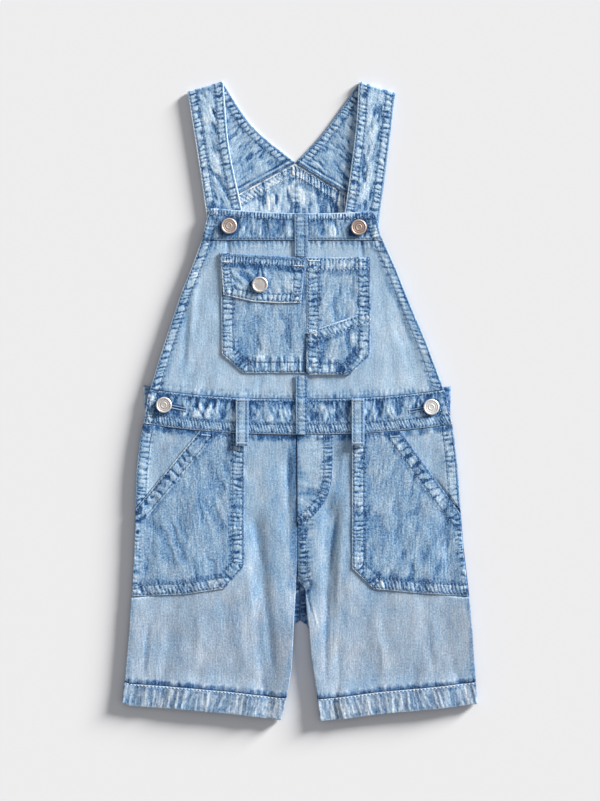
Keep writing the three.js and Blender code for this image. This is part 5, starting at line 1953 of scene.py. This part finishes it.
def buttonhole(piece, x, y, angle, length):
    """Close stitches along both sides of the slit, from the button's neck to its far end."""
    c, s = math.cos(math.radians(angle)), math.sin(math.radians(angle))
    along, out = np.array([c, s]), np.array([-s, c])
    at = np.linspace(5.5, length, int((length - 5.5) / 0.55))[:, None]
    for side in (-1, 1):
        inner = np.array([x, y]) + at * along + side * 0.35 * out
        lay("front", inner, inner + side * 1.3 * out, surface_of(piece), 0.26, 0.36)
    end = np.array([x, y]) + (length + 0.4) * along
    across = np.linspace(-1.6, 1.6, 7)[:, None] * out
    lay("front", end + across - 0.4 * along, end + across + 0.9 * along, surface_of(piece), 0.26, 0.36)


BACK_PIECES = (back_left, back_right, back_waistband, back_bib)
COVERS = {
    "front_leg_left": [pocket_hand_left.edge_distance],
    "front_leg_right": [pocket_hand_right.edge_distance],
    "bib_panel": [pocket_left.edge_distance, pocket_right.edge_distance],
    "bib_pocket_left": [flap.edge_distance],
    "bib_pocket_right": [pocket_tool.edge_distance],
    "front_waistband": [loops[0].edge_distance, loops[1].edge_distance, strip_lower.edge_distance],
    "bib_top_band": [strip_upper.edge_distance],
    "hand_pocket_left": [loops[0].edge_distance],
    "hand_pocket_right": [loops[1].edge_distance],
}
lock_stitch_rows()
strap_rows()
for tack in BAR_TACKS:
    bar_tack(*tack)
for hole in BUTTONHOLES:
    buttonhole(*hole)


def join_threads(name, group):
    """All stitches of a group as one object."""
    points, quads, triangles, pale, count = [], [], [], [], 0
    for p, q, t, tint in THREADS[group]:
        points.append(p)
        quads.append(q + count)
        triangles.append(t + count)
        pale.append(np.full(len(p), tint))
        count += len(p)
    if not points:
        return
    quads, triangles = np.concatenate(quads), np.concatenate(triangles)
    points = np.concatenate(points)
    points[:, 2] = np.maximum(points[:, 2], 0.02)
    made = make_mesh(name, points, quads, triangles, THREAD, [("fade", np.concatenate(pale))])
    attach(made, "root")
    print(name, 2 * len(quads) + len(triangles), "triangles")


join_threads("front_stitches", "front")
join_threads("back_stitches", "back")

# %% [markdown]
# ## Buttons
#
# Tack buttons are pressed metal caps on a neck. The cap has a rolled rim and rings that the real
# ones carry as relief. The letters between the rings are left out. The flap's button is plain. The
# profile is turned round the axis, and the height of each ring says how worn it is.

# %% Buttons
CAP = {"radius": 6.55, "thick": 2.2, "neck": 1.4, "steps": 64}
BUTTON_SEATS = (
    # name, piece, place, whether it has rings, how pale the metal is
    ("bib_button_left", band, -57.6, 143.1, True, 0.36),
    ("bib_button_right", band, 48.4, 142, True, 0.24),
    ("side_button_left", waistband, -110.9, -3.3, True, 0.62),
    ("side_button_right", waistband, 107.8, -4.9, True, 0.95),
    ("flap_button", flap, -32.4, 95.1, False, 0.72),
)


def lathe(profile, x, y):
    """A closed turned body: the profile, radius and height, goes round; its two ends are on the axis."""
    steps = CAP["steps"]
    turn = np.arange(steps) * 2 * math.pi / steps
    ring = np.array(profile[1:-1])
    points = np.stack(
        [
            x + ring[:, :1] * np.cos(turn),
            y + ring[:, :1] * np.sin(turn),
            ring[:, 1:] + 0 * turn,
        ],
        axis=-1,
    ).reshape(-1, 3)
    index = np.arange(len(points)).reshape(len(ring), steps)
    after = np.roll(index, -1, axis=1)
    quads = np.stack([index[:-1], after[:-1], after[1:], index[1:]], axis=-1).reshape(-1, 4)
    low, high = len(points), len(points) + 1
    points = np.concatenate([points, [[x, y, profile[0][1]], [x, y, profile[-1][1]]]])
    bottom = np.stack([after[0], index[0], np.full(steps, low)], axis=1)
    top = np.stack([index[-1], after[-1], np.full(steps, high)], axis=1)
    return points, quads, np.concatenate([bottom, top])


def button(name, piece, x, y, ringed, pale):
    """A cap on its neck, over the cloth that it closes."""
    around = np.linspace(0, 2 * math.pi, 13)
    ring_x, ring_y = x + 6 * np.cos(around), y + 6 * np.sin(around)
    under = float(np.max(piece.outer(ring_x, ring_y)[0])) + 0.1
    foot = float(piece.under(np.array([x]), np.array([y]))[0]) - 0.3
    r, t = CAP["radius"], under + CAP["thick"]
    profile = [
        (0, foot), (CAP["neck"], foot), (CAP["neck"], under), (r - 1.2, under), (r - 0.35, under + 0.35),
        (r, under + 0.95), (r - 0.12, t - 0.5), (r - 0.5, t - 0.12), (r - 0.95, t), (r - 1.3, t - 0.12),
        (r - 1.6, t - 0.42),
    ]
    if ringed:
        profile += [
            (4.3, t - 0.44), (4.1, t - 0.30), (3.8, t - 0.30), (3.6, t - 0.45), (2.6, t - 0.43), (2.4, t - 0.26),
            (2.0, t - 0.24), (1.8, t - 0.39), (0.9, t - 0.34),
        ]
    else:
        profile += [(4.0, t - 0.40), (2.0, t - 0.34)]
    profile += [(0, profile[-1][1] + 0.02)]
    points, quads, triangles = lathe(profile, x, y)
    worn = pale + 0.24 * smoothstep(points[:, 2], t - 0.46, t - 0.24) * ringed
    made = make_mesh(name, points, quads, triangles, BUTTON, [("fade", worn)])
    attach(made, "root")
    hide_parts(name)
    return made


for seat in BUTTON_SEATS:
    button(*seat)
print(len(BUTTON_SEATS), "buttons")

# %% [markdown]
# ## Ground
#
# The garment lies on a plain pale sheet.

# %% Ground and finish
ground = make_mesh(
    "ground",
    np.array([[-1500, -1500, 0], [1500, -1500, 0], [1500, 1500, 0], [-1500, 1500, 0]], float),
    np.array([[0, 1, 2, 3]]),
    NO_TRIANGLES,
    floor_material(),
)
